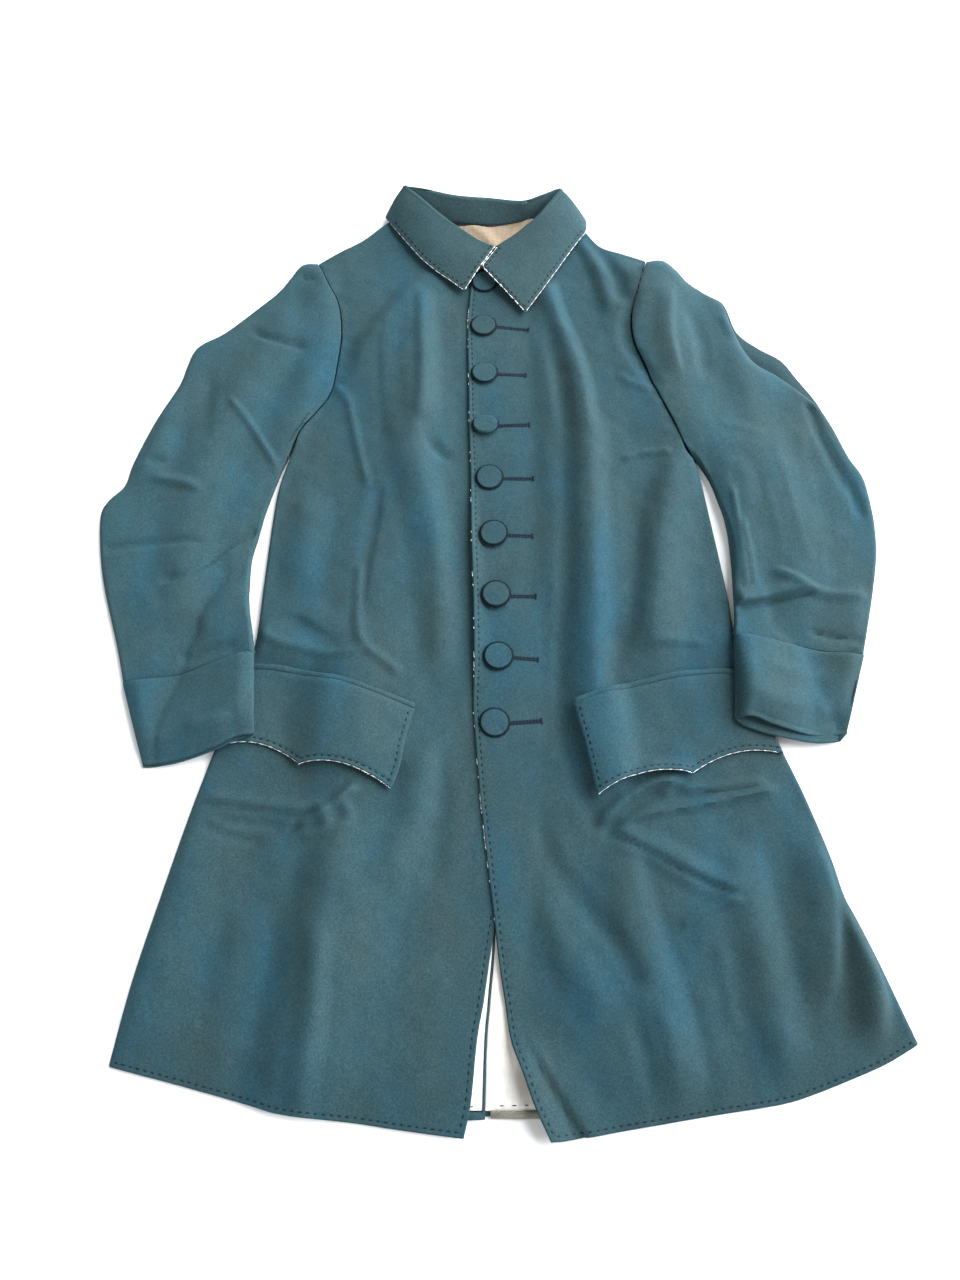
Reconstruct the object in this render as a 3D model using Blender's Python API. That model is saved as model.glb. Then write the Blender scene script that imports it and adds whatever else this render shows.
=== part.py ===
"""A frock coat laid flat on its back and buttoned, its sleeves beside it.

Sizes are in millimetres and MM turns them into metres. +X is the wearer's left, +Y runs
from the hem to the collar and +Z away from the surface that the coat lies on. Right and
left in the names are the wearer's own, so the right-hand pieces lie at -X.

Every piece of cloth is a wall. Its outer face is a grid of points between four edge curves,
raised by the folds that cross it, and its inner face lies one cloth thickness inside.
"""
import math

import bpy
import numpy as np
from mathutils import Vector
from mathutils.bvhtree import BVHTree

MM = 0.001

CLOTH = 2.0             # wall of one layer of wool
FLAP_CLOTH = 2.6        # flaps and cuffs, two layers sewn together
COLLAR_CLOTH = 2.8
LINEN = 1.0
GAP = 0.4               # clear space between pieces that touch
SEAM_GAP = 0.35

ROLL = 6.0              # radius of a soft edge where the cloth turns under
ROLL_STEPS = (0.0, 0.134, 0.5, 1.0)     # distances from the edge, in roll radii
BACK_INSET = 5.2        # the back lies this far inside the rolled edge of the fronts
SHOULDER_INSET = 9.0    # and this far below it in y at the sloping shoulders
FRONT_HEIGHT = 6.4      # outer face of a front just inside its rolled side edge
UNDER_LAP_HEIGHT = 6.2  # outer face of the right front beneath the left one
HEM_HEIGHT = 2.7        # outer face of a front at its hem
HEM_RISE = 14.0         # distance over which a front climbs onto the back hem
SLEEVE_HEIGHT = 7.0
CUFF_CLEARANCE = 1.5    # between a cuff and the pocket flap or skirt that it lies on
EDGE_LOW = 0.6          # height of the outer face at a rolled edge
FULLNESS = 1.4          # how much a front is fuller in its middle than at its side

# Nominal sizes of the patches, which set how many cells each grid gets.
FRONT_SIZE = (300.0, 880.0)
FRONT_CELL = 24
SLEEVE_SIZE = (150.0, 420.0)
SLEEVE_CELL = 16
CUFF_WIDTH = 125.0
CUFF_CELL = 15
BACK_COLUMNS = 4
BACK_ROWS = 36
FLAP_ROWS = 4
SCALLOP_COLUMNS = 6
WELT_COLUMNS = 12

# Reach and slope within which a piece clears what lies under it.
LINING_REST = (6.0, 0.1)
FRONT_REST = (26.0, 0.03)
POCKET_REST = (14.0, 0.03)
PLY_REST = (6.0, 0.0)

BUTTON_DIAMETER = 28.6
BUTTON_HEIGHT = 6.6
BUTTON_SIDES = 16
# From the back to the top of the dome: share of the radius and share of the height.
BUTTON_PROFILE = ((0.84, 0.0), (1.0, 0.30), (0.93, 0.62), (0.72, 0.87), (0.36, 1.0))

WOOL = (0.045, 0.098, 0.118)
WOOL_DARK = (0.036, 0.082, 0.098)
LINEN_CREAM = (0.72, 0.64, 0.53)

# Edge curves, each a short list of (x, y) points from the hem or outer end upwards.
RIGHT_SIDE = ((-325.5, -445.5), (-313.5, -376), (-297.5, -308), (-279.5, -236),
              (-263.5, -179), (-242.5, -110), (-229.8, -58), (-226.8, 0), (-222.8, 75),
              (-218.8, 115), (-209.8, 150))
RIGHT_ARMHOLE = ((-209.8, 150), (-199, 180), (-182, 206), (-169, 229), (-164, 262),
                 (-161, 305), (-166, 345), (-179, 373), (-194, 406))
RIGHT_HEM = ((-21, -501), (-74, -494.5), (-111, -489.5), (-173, -482.5), (-198, -476.5),
             (-258.5, -461.5), (-296.5, -452.5), (-325.5, -445.5))
RIGHT_NECK = ((16, 385), (-12, 383), (-32, 394), (-54, 413), (-78, 442), (-98, 473))
RIGHT_SHOULDER = ((-98, 473), (-116, 465), (-144, 439), (-169, 423), (-194, 406))
UNDER_LAP_EDGE = ((-21, -501), (-15, -472), (-10, -425), (-4, -393), (1, -360), (6, -330),
                  (14, -285), (22, -220), (27, -144), (29, 0), (27, 180), (16, 385))

LEFT_SIDE = ((371.5, -428), (358.5, -393), (346.5, -360), (332.5, -325), (323.5, -304),
             (316.5, -273), (305.5, -236), (292.5, -198), (269.5, -140), (257.5, -110),
             (247, -58), (244, -15), (239, 29), (233, 76), (227, 120), (221, 144))
LEFT_ARMHOLE = ((221, 144), (211, 159), (197, 194), (183, 230), (175, 256), (164, 287),
                (161, 310), (163, 335), (172, 366), (185, 410))
LEFT_HEM = ((52, -502), (74, -501), (135, -492), (187, -484), (248, -475), (277.5, -467),
            (314.5, -454), (342.5, -443), (371.5, -428))
LEFT_NECK = ((-16, 376), (6, 386), (30, 403), (56, 428), (78, 450), (94, 472))
LEFT_SHOULDER = ((94, 472), (115, 453), (133, 430), (160, 419), (185, 410))
FRONT_EDGE = ((52, -502), (39, -475), (29, -448), (20, -425), (15, -393), (10, -360),
              (6, -322), (2, -291), (-2, -255), (-7, -209), (-12, -144), (-13, -122),
              (-12, -77), (-13, -11), (-15, 57), (-16, 124), (-18, 187), (-19, 253),
              (-20, 317), (-16, 376))

BACK_SEAM = ((-4, -484), (-2, -425), (1, -393), (6, -330), (8, -200), (8, 0), (6, 200),
             (4, 458))
RIGHT_BACK_HEM = ((-4, -484), (-17, -486), (-111, -472), (-198, -459), (-257, -443),
                  (-304, -427))
LEFT_BACK_HEM = ((-4, -484), (44, -485), (135, -473), (187, -466), (248, -456),
                 (313, -435), (352, -412))
RIGHT_BACK_NECK = ((4, 458), (-33, 460), (-62, 466), (-96, 467))
LEFT_BACK_NECK = ((4, 458), (22, 462), (56, 471), (91, 466))
NECK_RISE = (400, 455)      # the back lifts over the collar between these heights
NECK_LIFT = 2.9
NECK_LIFT_FADE = (95, 130)  # distance from the middle over which the lift ends
SHOULDER_FADE = (60, 100)   # and over which the shoulder drops below the front's
SHOULDER_SIDE_FADE = (120, 180)

NECK_LINING = ((-70, 66), 400)              # x from and to, and the lowest y
NECK_LINING_EDGE = 1.5                      # between the lining and the back neck seam
SKIRT_LINING_TOP = -300
SKIRT_LINING_REACH = 70                     # width each side of the back vent
SKIRT_LINING_HEM = -480
SKIRT_LINING_EDGE = 1.4                     # between the lining and the vent

ARMHOLE_OPEN = (-4, 26)     # height over the underarm in which the side roll flattens out
LAP_MIDDLE = 8              # x of the middle of the lap of the fronts
LAP_FADE = (28, 60)         # distance from it over which the lap's height ends
NECK_FLAT = (88, 112)       # the neck edge is flat up to here and rolled beyond
SLEEVE_HEAD_OPEN = 22       # length over which the sleeve leaves the armhole unrolled
SLEEVE_FULLNESS = 1.2
CUFF_EDGE_RADIUS = 5.0
CUFF_THICKNESS = 9.4        # of the flattened cuff at its rounded edges
CUFF_SWELL = 4.2            # and how much it is thicker in the middle

# Sleeve edge curves run from the shoulder or underarm down to the cuff.
RIGHT_SLEEVE_OUTER = ((-195.5, 407), (-213, 405), (-225, 386), (-237, 367), (-257, 346),
                      (-293, 311), (-318, 295), (-327, 283), (-332, 264), (-338, 240),
                      (-359, 194), (-376, 144), (-382, 116), (-397, 98), (-403, 80),
                      (-397, 35), (-387, -5), (-367, -65), (-356, -103))
RIGHT_SLEEVE_INNER = ((-211.3, 149), (-217, 132), (-224, 108), (-231, 80), (-236, 52),
                      (-240, 28), (-239, -5), (-236, -28), (-230, -56), (-227, -75))
RIGHT_CUFF_SEAM = ((-227, -75), (-238, -76), (-268, -86), (-297, -95), (-356, -103))
RIGHT_CUFF_MOUTH = ((-220, -157), (-238, -160), (-257, -169), (-293, -180), (-327, -184))
RIGHT_CUFF_UNDER = ((-221, -158), (-238, -162), (-257, -171), (-293, -182), (-327, -186))

LEFT_SLEEVE_OUTER = ((186.5, 410), (206, 411), (221, 396), (231, 381), (248, 366),
                     (268, 350), (277, 318), (286, 291), (299, 269), (321, 253), (343, 233),
                     (361, 214), (373, 190), (387, 150), (399, 125), (403, 88), (403, 62),
                     (400, 33), (390, -10), (372, -74))
LEFT_SLEEVE_BACK = ((186.5, 410), (206, 411), (221, 396), (231, 381), (250, 372),
                    (274, 360), (286, 320), (308, 298), (333, 281), (348, 257), (366, 227),
                    (374, 206), (376, 190), (387, 150), (399, 125), (403, 88), (403, 62),
                    (400, 33), (390, -10), (372, -74))
LEFT_SLEEVE_INNER = ((222.5, 143.5), (233, 130), (243, 100), (249, 60), (249, 25),
                     (247, -7), (245, -38), (243, -54))
LEFT_CUFF_SEAM = ((243, -54), (275, -60), (310, -67), (341, -72), (372, -74))
LEFT_CUFF_MOUTH = ((238, -141), (254, -141), (272, -148), (310, -156), (345, -153))
LEFT_CUFF_UNDER = ((236, -140), (245, -148), (272, -157), (310, -163), (338, -161))

# Pocket flaps: the seam above each, and a lower edge in two hollows between three points.
RIGHT_FLAP_TOP = ((-70, -131), (-104, -119), (-138, -107), (-162, -102), (-202, -93),
                  (-231, -91))
RIGHT_FLAP_INNER = ((-90, -208), (-83, -188), (-79, -165), (-74, -145), (-70, -131))
RIGHT_FLAP_POINTS = ((-90, -208), (-177, -185), (-252, -166))
LEFT_FLAP_TOP = ((83, -128), (109, -119), (148, -108), (188, -99), (221, -95), (250, -95))
LEFT_FLAP_INNER = ((102, -214), (98, -196), (92, -165), (87, -145), (83, -128))
LEFT_FLAP_POINTS = ((102, -214), (192, -193), (280, -174))
SCALLOP_RISE = 11.0
SCALLOP_ROUNDNESS = 0.8     # below 1 makes the hollows blunter than a half sine
POCKET_CLEARANCE = 0.7
WELT_WIDTH = 5.0

# Folds: height of the crest (negative for a trough), half width, and the line it follows.
RIGHT_FOLDS = (
    ("chest fullness", 5.5, 85, ((-95, 330), (-90, 160), (-110, -20), (-120, -150))),
    ("skirt fullness", 3.5, 80, ((-130, -200), (-150, -300), (-170, -420))),
    ("chest ridge", 8.0, 24, ((-67, 340), (-67, 216), (-73, 157), (-57, 94), (-41, 26),
                              (-35, -61), (-31, -130))),
    ("armhole ridge", 5.5, 20, ((-103, 358), (-124, 307), (-119, 254), (-107, 195))),
    ("underarm drag", 4.5, 16, ((-163, 240), (-151, 220), (-136, 180), (-126, 120))),
    ("pocket ridge", 4.5, 17, ((-190, -62), (-149, -76), (-110, -74))),
    ("waist hollow", -3.0, 14, ((-228, -46), (-208, -66), (-170, -86), (-140, -92))),
    ("front skirt ridge", 5.5, 34, ((-45, -150), (-60, -230), (-75, -274), (-91, -350))),
    ("skirt hollow", -3.5, 16, ((-155, -225), (-168, -326), (-186, -401), (-196, -470))),
    ("side skirt ridge", 7.0, 24, ((-125, -215), (-142, -326), (-156, -401), (-168, -485))),
    ("hip crease", 4.0, 12, ((-262, -216), (-211, -222), (-165, -212))),
)
LEFT_FOLDS = (
    ("chest fullness", 5.0, 85, ((120, 330), (120, 160), (135, -20), (140, -150))),
    ("skirt fullness", 3.5, 80, ((150, -200), (180, -300), (210, -420))),
    ("chest ridge", 8.0, 22, ((83, 352), (98, 281), (110, 216), (113, 154), (112, 71),
                              (110, -18), (106, -110))),
    ("front hollow", -2.5, 18, ((73, 270), (80, 191), (80, 118), (76, 26), (76, -61),
                                (70, -200))),
    ("side ridge", 6.5, 24, ((158, 150), (172, 71), (170, -18), (150, -71), (128, -112))),
    ("armhole ridge", 4.0, 18, ((112, 423), (135, 380), (147, 330))),
    ("hip ridge", 5.5, 13, ((118, -240), (150, -226), (190, -221), (250, -214))),
    ("hip hollow", -3.5, 12, ((112, -246), (153, -262), (183, -280), (222, -302))),
    ("thigh ridge", 6.5, 15, ((132, -266), (182, -298), (224, -310), (196, -324))),
    ("skirt ridge", 6.0, 26, ((128, -268), (136, -309), (155, -368), (176, -420))),
    ("side skirt band", 4.5, 26, ((240, -280), (245, -364), (270, -450))),
    ("side roll", 7.0, 20, ((302, -250), (310, -309), (309, -351), (300, -400))),
    ("corner crease", 4.0, 14, ((40, -425), (52, -456), (78, -500))),
)
RIGHT_SLEEVE_FOLDS = (
    ("shoulder drag", 3.5, 17, ((-262, 300), (-233, 292), (-198, 280))),
    ("arm fullness", 3.5, 40, ((-200, 350), (-260, 240), (-300, 120), (-310, -60))),
    ("upper arm fold", 3.5, 18, ((-268, 215), (-250, 180), (-222, 140))),
    ("elbow fold", 4.0, 15, ((-310, 10), (-282, 22), (-257, 46), (-240, 56))),
    ("outer elbow fold", 3.0, 14, ((-384, 44), (-355, 48), (-325, 46))),
    ("inner elbow fold", 3.0, 14, ((-352, 121), (-324, 112), (-288, 102))),
)
LEFT_SLEEVE_FOLDS = (
    ("sleeve head", 6.0, 20, ((200, 380), (217, 350), (213, 307), (214, 240))),
    ("arm fullness", 4.0, 40, ((240, 300), (290, 160), (320, 60), (310, -50))),
    ("outer arm fold", 3.0, 14, ((268, 310), (282, 268), (310, 240), (342, 212))),
    ("forearm fold", 4.0, 16, ((247, -22), (291, -14), (330, -2), (372, -10))),
    ("elbow fold", 3.0, 20, ((296, 130), (304, 59), (330, 10))),
)

# Collar sections from the right front end round the back to the left front end.
# Columns: neck seam x, y, z; fold x, y, z; leaf edge x, y, z; sideways bow of the leaf.
COLLAR_SECTIONS = (
    (0, 403, 10.0, 9, 417, 17.0, -25, 361, 13.0, 0),
    (-15, 400, 9.6, -8, 426, 18.5, -39, 373, 13.5, 0),
    (-34, 413, 9.4, -32, 442, 21.5, -56, 387, 13.5, 0),
    (-54, 431, 9.2, -54, 459, 24.5, -75, 407, 13.5, 0),
    (-72, 452, 9.0, -77, 481, 28.0, -95, 434, 13.0, 0),
    (-83, 467, 8.0, -91, 493, 30.5, -111, 459, 10.5, 0),
    (-80, 467, 7.0, -94, 497, 31.5, -116, 476, 4.0, 0),
    (-70, 466, 6.9, -80, 492, 32.0, -88, 490, 2.6, 0),
    (-38, 463, 6.9, -38, 479, 32.5, -36, 480, 1.9, 0),
    (4, 460, 6.9, 6, 473, 33.0, 6, 475, 1.9, 0),
    (38, 465, 6.9, 43, 468, 33.0, 43, 478, 1.9, 0),
    (62, 472, 6.9, 66, 480, 32.5, 78, 488, 2.4, 0),
    (74, 470, 7.5, 85, 491, 32.0, 112, 476, 4.0, 0),
    (76, 460, 9.6, 81, 482, 30.5, 116, 449, 11.0, 0),
    (64, 443, 10.6, 64, 459, 27.5, 104, 427, 13.5, 0),
    (47, 426, 10.8, 42, 438, 23.0, 85, 396, 15.0, 0),
    (29, 410, 10.9, 25, 426, 19.5, 65, 364, 15.0, 0),
    (14, 402, 11.0, 11, 417, 17.0, 44, 331, 14.5, -25),
)
COLLAR_FOLD_RADIUS = 2.4
LEAF_STEPS = (0.1, 0.2, 0.5, 0.78, 1.0)
LEAF_SWELL = 2.0        # how far the leaf arches above a straight section
BOW_PEAK = 0.2          # share of the leaf, from the fold, where its sideways bow is greatest

# Centre of each button down the front, x and y.
BUTTONS = ((-2, 375), (-3, 315), (-2, 252), (-1, 186), (3, 122), (7, 56), (9, -12),
           (11, -77), (7, -144))


# ---------------------------------------------------------------- curves and grids

def smooth(points, steps=10):
    """A dense polyline on the Catmull-Rom curve through the points."""
    points = np.array(points, float)
    ends = (2 * points[0] - points[1], 2 * points[-1] - points[-2])
    padded = np.vstack((ends[0], points, ends[1]))
    t = np.linspace(0, 1, steps, endpoint=False)[:, None]
    spans = []
    for a, b, c, d in zip(padded, padded[1:], padded[2:], padded[3:]):
        spans.append(0.5 * (2 * b + (c - a) * t + (2 * a - 5 * b + 4 * c - d) * t ** 2
                            + (3 * b - a - 3 * c + d) * t ** 3))
    return np.vstack(spans + [points[-1:]])


def by_length(*curves):
    """Point on the joined curves at a fraction of their length."""
    line = np.vstack([smooth(curve) for curve in curves])
    keep = np.append(True, np.linalg.norm(np.diff(line, axis=0), axis=1) > 1e-6)
    line = line[keep]
    length = np.append(0, np.cumsum(np.linalg.norm(np.diff(line, axis=0), axis=1)))
    length = length / length[-1]
    return lambda f: np.stack([np.interp(f, length, line[:, k]) for k in (0, 1)], -1)


def by_height(*curves, low=None, high=None):
    """Point on the joined curves at a fraction of their rise in y."""
    line = np.vstack([smooth(curve) for curve in curves])
    line = line[np.argsort(line[:, 1], kind="stable")]
    low = line[0, 1] if low is None else low
    high = line[-1, 1] if high is None else high

    def point(f):
        y = low + np.asarray(f) * (high - low)
        return np.stack([np.interp(y, line[:, 1], line[:, 0]), y], -1)
    return point


def patch(bottom, top, left, right, u, v):
    """Coons patch between four edges; bottom and top run from left to right."""
    u, v = np.broadcast_arrays(u, v)
    a, b = u[..., None], v[..., None]
    corner = [edge(np.array(end)) for edge, end in
              ((bottom, 0.0), (bottom, 1.0), (top, 0.0), (top, 1.0))]
    ruled = (1 - b) * bottom(u) + b * top(u) + (1 - a) * left(v) + a * right(v)
    return ruled - ((1 - a) * (1 - b) * corner[0] + a * (1 - b) * corner[1]
                    + (1 - a) * b * corner[2] + a * b * corner[3])


def divisions(length, cell, start=(0.0,), end=(0.0,)):
    """Fractions of a length: set distances from each end and even cells between."""
    inner = length - start[-1] - end[-1]
    count = max(1, round(inner / cell))
    middle = start[-1] + inner * np.arange(1, count) / count
    return np.concatenate((start, middle, length - np.array(end[::-1]))) / length


def rolled(radius=ROLL):
    """Distances from a rolled edge at which the grid has a line."""
    return tuple(step * radius for step in ROLL_STEPS)


def ease(x, low, high):
    """Smooth step from 0 at low to 1 at high."""
    t = np.clip((np.asarray(x, float) - low) / (high - low), 0, 1)
    return t * t * (3 - 2 * t)


def roll_rise(distance, radius=ROLL):
    """Rise of a round edge, 0 at the edge and 1 one radius inside it."""
    t = 1 - np.clip(distance, 0, radius) / radius
    return np.sqrt(np.clip(1 - t * t, 0, 1))


def relief(xy, folds):
    """Height that the folds add at each point of a grid."""
    total = np.zeros(xy.shape[:-1])
    for _, height, half_width, line in folds:
        points = smooth(line, 6)
        steps = np.linalg.norm(np.diff(points, axis=0), axis=1)
        run = np.append(0, np.cumsum(steps))
        nearest = np.full(total.shape, 1e9)
        place = np.zeros(total.shape)
        for k, (a, b) in enumerate(zip(points, points[1:])):
            t = np.clip(((xy - a) @ (b - a)) / steps[k] ** 2, 0, 1)
            away = np.linalg.norm(xy - (a + t[..., None] * (b - a)), axis=-1)
            closer = away < nearest
            nearest = np.where(closer, away, nearest)
            place = np.where(closer, run[k] + t * steps[k], place)
        taper = min(2.0 * half_width, 0.45 * run[-1])
        ends = ease(place, 0, taper) * ease(run[-1] - place, 0, taper)
        across = 0.5 + 0.5 * np.cos(np.pi * np.clip(nearest / half_width, 0, 1))
        total += height * ends * across
    return total


def lift(xy, z):
    """Join plan points and heights into a grid of 3-D points."""
    return np.concatenate((xy, np.broadcast_to(z, xy.shape[:-1])[..., None]), -1)


# ---------------------------------------------------------------- solids

def material(name, colour, roughness):
    """A Principled material; each sub-part has its own."""
    result = bpy.data.materials.new(name)
    result.use_nodes = True
    shader = result.node_tree.nodes["Principled BSDF"]
    shader.inputs["Base Color"].default_value = (*colour, 1.0)
    shader.inputs["Roughness"].default_value = roughness
    shader.inputs["Metallic"].default_value = 0.0
    return result


def grid_normals(grid, closed):
    """Unit normals of a grid, pointing up where its rows run +X and its columns +Y."""
    if closed:
        across = np.roll(grid, -1, 1) - np.roll(grid, 1, 1)
    else:
        across = np.gradient(grid, axis=1)
    along = np.gradient(grid, axis=0)
    normal = np.cross(across, along)
    return normal / np.linalg.norm(normal, axis=-1, keepdims=True)


def wall(name, grid, thickness, colour, roughness=0.9, closed=False, floor=None,
         rests_on=None):
    """A closed wall whose outer face is the grid; a closed one is a tube."""
    rows, columns = grid.shape[:2]
    inner = grid - thickness * grid_normals(grid, closed)
    if floor is not None:
        inner[..., 2] = np.maximum(inner[..., 2], floor)
    if rests_on is not None:
        rest = rests_on.under(inner[..., :2], *PLY_REST) + GAP
        raised = np.maximum(rest - inner[..., 2], 0)
        inner[..., 2] += raised
        grid = lift(grid[..., :2], grid[..., 2] + raised)
    count = rows * columns
    vertices = np.vstack((grid.reshape(-1, 3), inner.reshape(-1, 3))) * MM

    def outer_face(r, c):
        d = (c + 1) % columns
        return (r * columns + c, r * columns + d, (r + 1) * columns + d,
                (r + 1) * columns + c)

    spans = columns if closed else columns - 1
    faces = []
    for r in range(rows - 1):
        for c in range(spans):
            quad = outer_face(r, c)
            faces.append(quad)
            faces.append(tuple(count + k for k in reversed(quad)))
    for c in range(spans):
        a, b = outer_face(0, c)[:2]
        faces.append((b, a, count + a, count + b))
        d, e = outer_face(rows - 2, c)[2:]
        faces.append((e, d, count + d, count + e))
    if not closed:
        for r in range(rows - 1):
            a, e = outer_face(r, 0)[0], outer_face(r, 0)[3]
            faces.append((a, e, count + e, count + a))
            b, d = outer_face(r, columns - 2)[1:3]
            faces.append((d, b, count + b, count + d))
    mesh = bpy.data.meshes.new(name)
    mesh.from_pydata([tuple(point) for point in vertices], [], faces)
    mesh.validate()
    mesh.shade_smooth()
    mesh.set_sharp_from_angle(angle=math.radians(50))
    mesh.materials.append(material(name + "_cloth", colour, roughness))
    piece = bpy.data.objects.new(name, mesh)
    bpy.context.scene.collection.objects.link(piece)
    return piece


def facing_up(grid):
    """The grid with its columns in the order that makes its normals point up."""
    return grid if grid_normals(grid, False)[..., 2].mean() > 0 else grid[:, ::-1]


class Heights:
    """Top surface of the pieces laid so far, in millimetres."""

    def __init__(self, pieces):
        self.trees = []
        for piece in pieces:
            points = [vertex.co / MM for vertex in piece.data.vertices]
            faces = [tuple(face.vertices) for face in piece.data.polygons]
            self.trees.append(BVHTree.FromPolygons(points, faces))

    def at(self, x, y):
        top = 0.0
        for tree in self.trees:
            hit = tree.ray_cast(Vector((x, y, 500.0)), Vector((0, 0, -1)))[0]
            if hit is not None:
                top = max(top, hit.z)
        return top

    def under(self, xy, reach, slope):
        """Lowest height at which stiff cloth clears the pieces within reach."""
        result = np.zeros(xy.shape[:-1])
        rings = [(0.0, 0.0, 0.0)]
        for radius in np.arange(reach, 0, -reach / 3):
            for turn in range(8):
                angle = turn * math.pi / 4
                rings.append((radius * math.cos(angle), radius * math.sin(angle), radius))
        for index in np.ndindex(result.shape):
            x, y = xy[index]
            result[index] = max(self.at(x + dx, y + dy) - slope * r for dx, dy, r in rings)
        return result


# ---------------------------------------------------------------- the body of the coat

def back_panel(name, seam, hem, neck, shoulder, side, armhole, sign):
    """Half of the back, flat on the surface but for the neck, which rests on the collar."""
    outer_edge = by_height(side, armhole, low=hem[-1][1],
                           high=armhole[-1][1] - SHOULDER_INSET)

    def inset_edge(f):
        return outer_edge(f) - np.array((sign * BACK_INSET, 0.0))

    def inset_shoulder(f):
        point = by_length(neck, shoulder)(f)
        drop = SHOULDER_INSET * ease(abs(point[..., 0]), *SHOULDER_FADE)
        point[..., 1] -= drop
        point[..., 0] -= sign * BACK_INSET * ease(abs(point[..., 0]), *SHOULDER_SIDE_FADE)
        return point

    u = np.linspace(0, 1, BACK_COLUMNS + 1)[None, :]
    u[0, 0] = SEAM_GAP / FRONT_SIZE[0]
    v = np.linspace(0, 1, BACK_ROWS + 1)[:, None]
    xy = patch(by_length(hem), inset_shoulder, by_height(seam), inset_edge, u, v)
    rise = NECK_LIFT * ease(xy[..., 1], *NECK_RISE)
    rise = rise * (1 - ease(abs(xy[..., 0]), *NECK_LIFT_FADE))
    return wall(name, facing_up(lift(xy, CLOTH + rise)), CLOTH, WOOL_DARK, floor=0.0)


def lining_piece(name, xy, base):
    """A linen lining lying on the back where it shows."""
    z = base.under(xy, *LINING_REST) + GAP + LINEN
    return wall(name, facing_up(lift(xy, z)), LINEN, LINEN_CREAM, roughness=0.8)


def skirt_lining(name, seam, sign, base):
    """Lining beside the back vent, seen through the open front skirts."""
    v = np.linspace(0, 1, 7)[:, None]
    u = np.linspace(0, 1, 4)[None, :]
    y = SKIRT_LINING_HEM + v * (SKIRT_LINING_TOP - SKIRT_LINING_HEM) + 0 * u
    line = smooth(seam)
    start = np.interp(y, line[:, 1], line[:, 0]) + sign * SKIRT_LINING_EDGE
    x = start + sign * u * SKIRT_LINING_REACH
    return lining_piece(name, np.stack((x, y), -1), base)


def neck_lining(base):
    """Lining inside the back of the neck, up to the seam of the collar."""
    (x0, x1), low = NECK_LINING
    seam = np.vstack((smooth(RIGHT_BACK_NECK)[::-1], smooth(LEFT_BACK_NECK)))
    x, f = np.meshgrid(np.linspace(x0, x1, 9), np.linspace(0, 1, 5))
    top = np.interp(x, seam[:, 0], seam[:, 1]) - NECK_LINING_EDGE
    return lining_piece("neck_lining", np.stack((x, low + f * (top - low)), -1), base)


def front_panel(name, edge, hem, neck, shoulder, side, armhole, folds, lap_height, below):
    """One front: rolled under at its side and shoulder, lying on what is below."""
    width, length = FRONT_SIZE
    u = divisions(width, FRONT_CELL, start=(0.0, 8.0), end=rolled())[None, :]
    v = divisions(length, FRONT_CELL, start=(0.0, 5.0, HEM_RISE), end=rolled())[:, None]
    xy = patch(by_length(hem), by_length(neck, shoulder), by_height(edge),
               by_height(side, armhole), u, v)
    u, v = np.broadcast_arrays(u, v)
    x, y = xy[..., 0], xy[..., 1]
    to_side, to_top, to_hem = (1 - u) * width, (1 - v) * length, v * length
    on_armhole = ease(y - armhole[0][1], *ARMHOLE_OPEN)
    calm = ease(to_side, 0, 30) * ease(to_hem, 0, 60) * ease(to_top, 0, 70)
    height = FRONT_HEIGHT + FULLNESS * ease(to_side, 0, 40) + relief(xy, folds) * calm
    lap = 1 - ease(abs(x - LAP_MIDDLE), *LAP_FADE)
    height = height + (lap_height - height) * lap
    if below:
        rest = Heights(below).under(xy, *FRONT_REST) + GAP + CLOTH
        height = np.maximum(height, rest)
    rise = roll_rise(to_side)
    rise = rise + (1 - rise) * np.where(to_side < ROLL, on_armhole, 0)
    on_neck = 1 - ease(abs(x), *NECK_FLAT)
    top_rise = roll_rise(to_top)
    top_rise = top_rise + (1 - top_rise) * on_neck
    hem_rise = np.clip(to_hem / HEM_RISE, 0, 1)
    height = HEM_HEIGHT + (height - HEM_HEIGHT) * hem_rise
    low = EDGE_LOW + CLOTH * ease(to_side, 0, ROLL) * ease(to_top, 0, ROLL)
    return wall(name, facing_up(lift(xy, low + (height - low) * rise * top_rise)), CLOTH,
                WOOL, floor=0.05)


# ---------------------------------------------------------------- pockets

def scallop_edge(points):
    """Lower edge of a flap: concave arcs between its points."""
    spans = []
    for a, b in zip(points, points[1:]):
        f = np.linspace(0, 1, SCALLOP_COLUMNS + 1)[:-1, None]
        line = np.array(a) + f * (np.array(b, float) - a)
        line[:, 1] += SCALLOP_RISE * np.sin(np.pi * f[:, 0]) ** SCALLOP_ROUNDNESS
        spans.append(line)
    return np.vstack(spans + [np.array([points[-1]], float)])


def pocket(side_name, top, inner, points, below):
    """The welt and the flap of one pocket."""
    base = Heights(below)
    lower = scallop_edge(points)
    upper = by_length(top)(np.linspace(0, 1, len(lower)))
    inner_edge = by_length(inner)
    f = np.linspace(0, 1, FLAP_ROWS + 1)
    xy = lower[None] + f[:, None, None] * (upper - lower)[None]
    bend = inner_edge(f) - xy[:, 0]
    fade = np.linspace(1, 0, len(lower))[None, :, None] ** 3
    xy = xy + bend[:, None] * fade
    z = base.under(xy, *POCKET_REST) + POCKET_CLEARANCE + FLAP_CLOTH
    flap = wall("flap_" + side_name, facing_up(lift(xy, z)), FLAP_CLOTH, WOOL,
                rests_on=base)

    strip = by_length(top)(np.linspace(0, 1, WELT_COLUMNS + 1))
    step = (SEAM_GAP, WELT_WIDTH + SEAM_GAP)
    xy = np.stack([strip + np.array((0.0, rise)) for rise in step])
    z = base.under(xy, *POCKET_REST) + POCKET_CLEARANCE + CLOTH
    welt = wall("welt_" + side_name, facing_up(lift(xy, z)), CLOTH, WOOL, rests_on=base)
    return [flap, welt]


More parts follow.
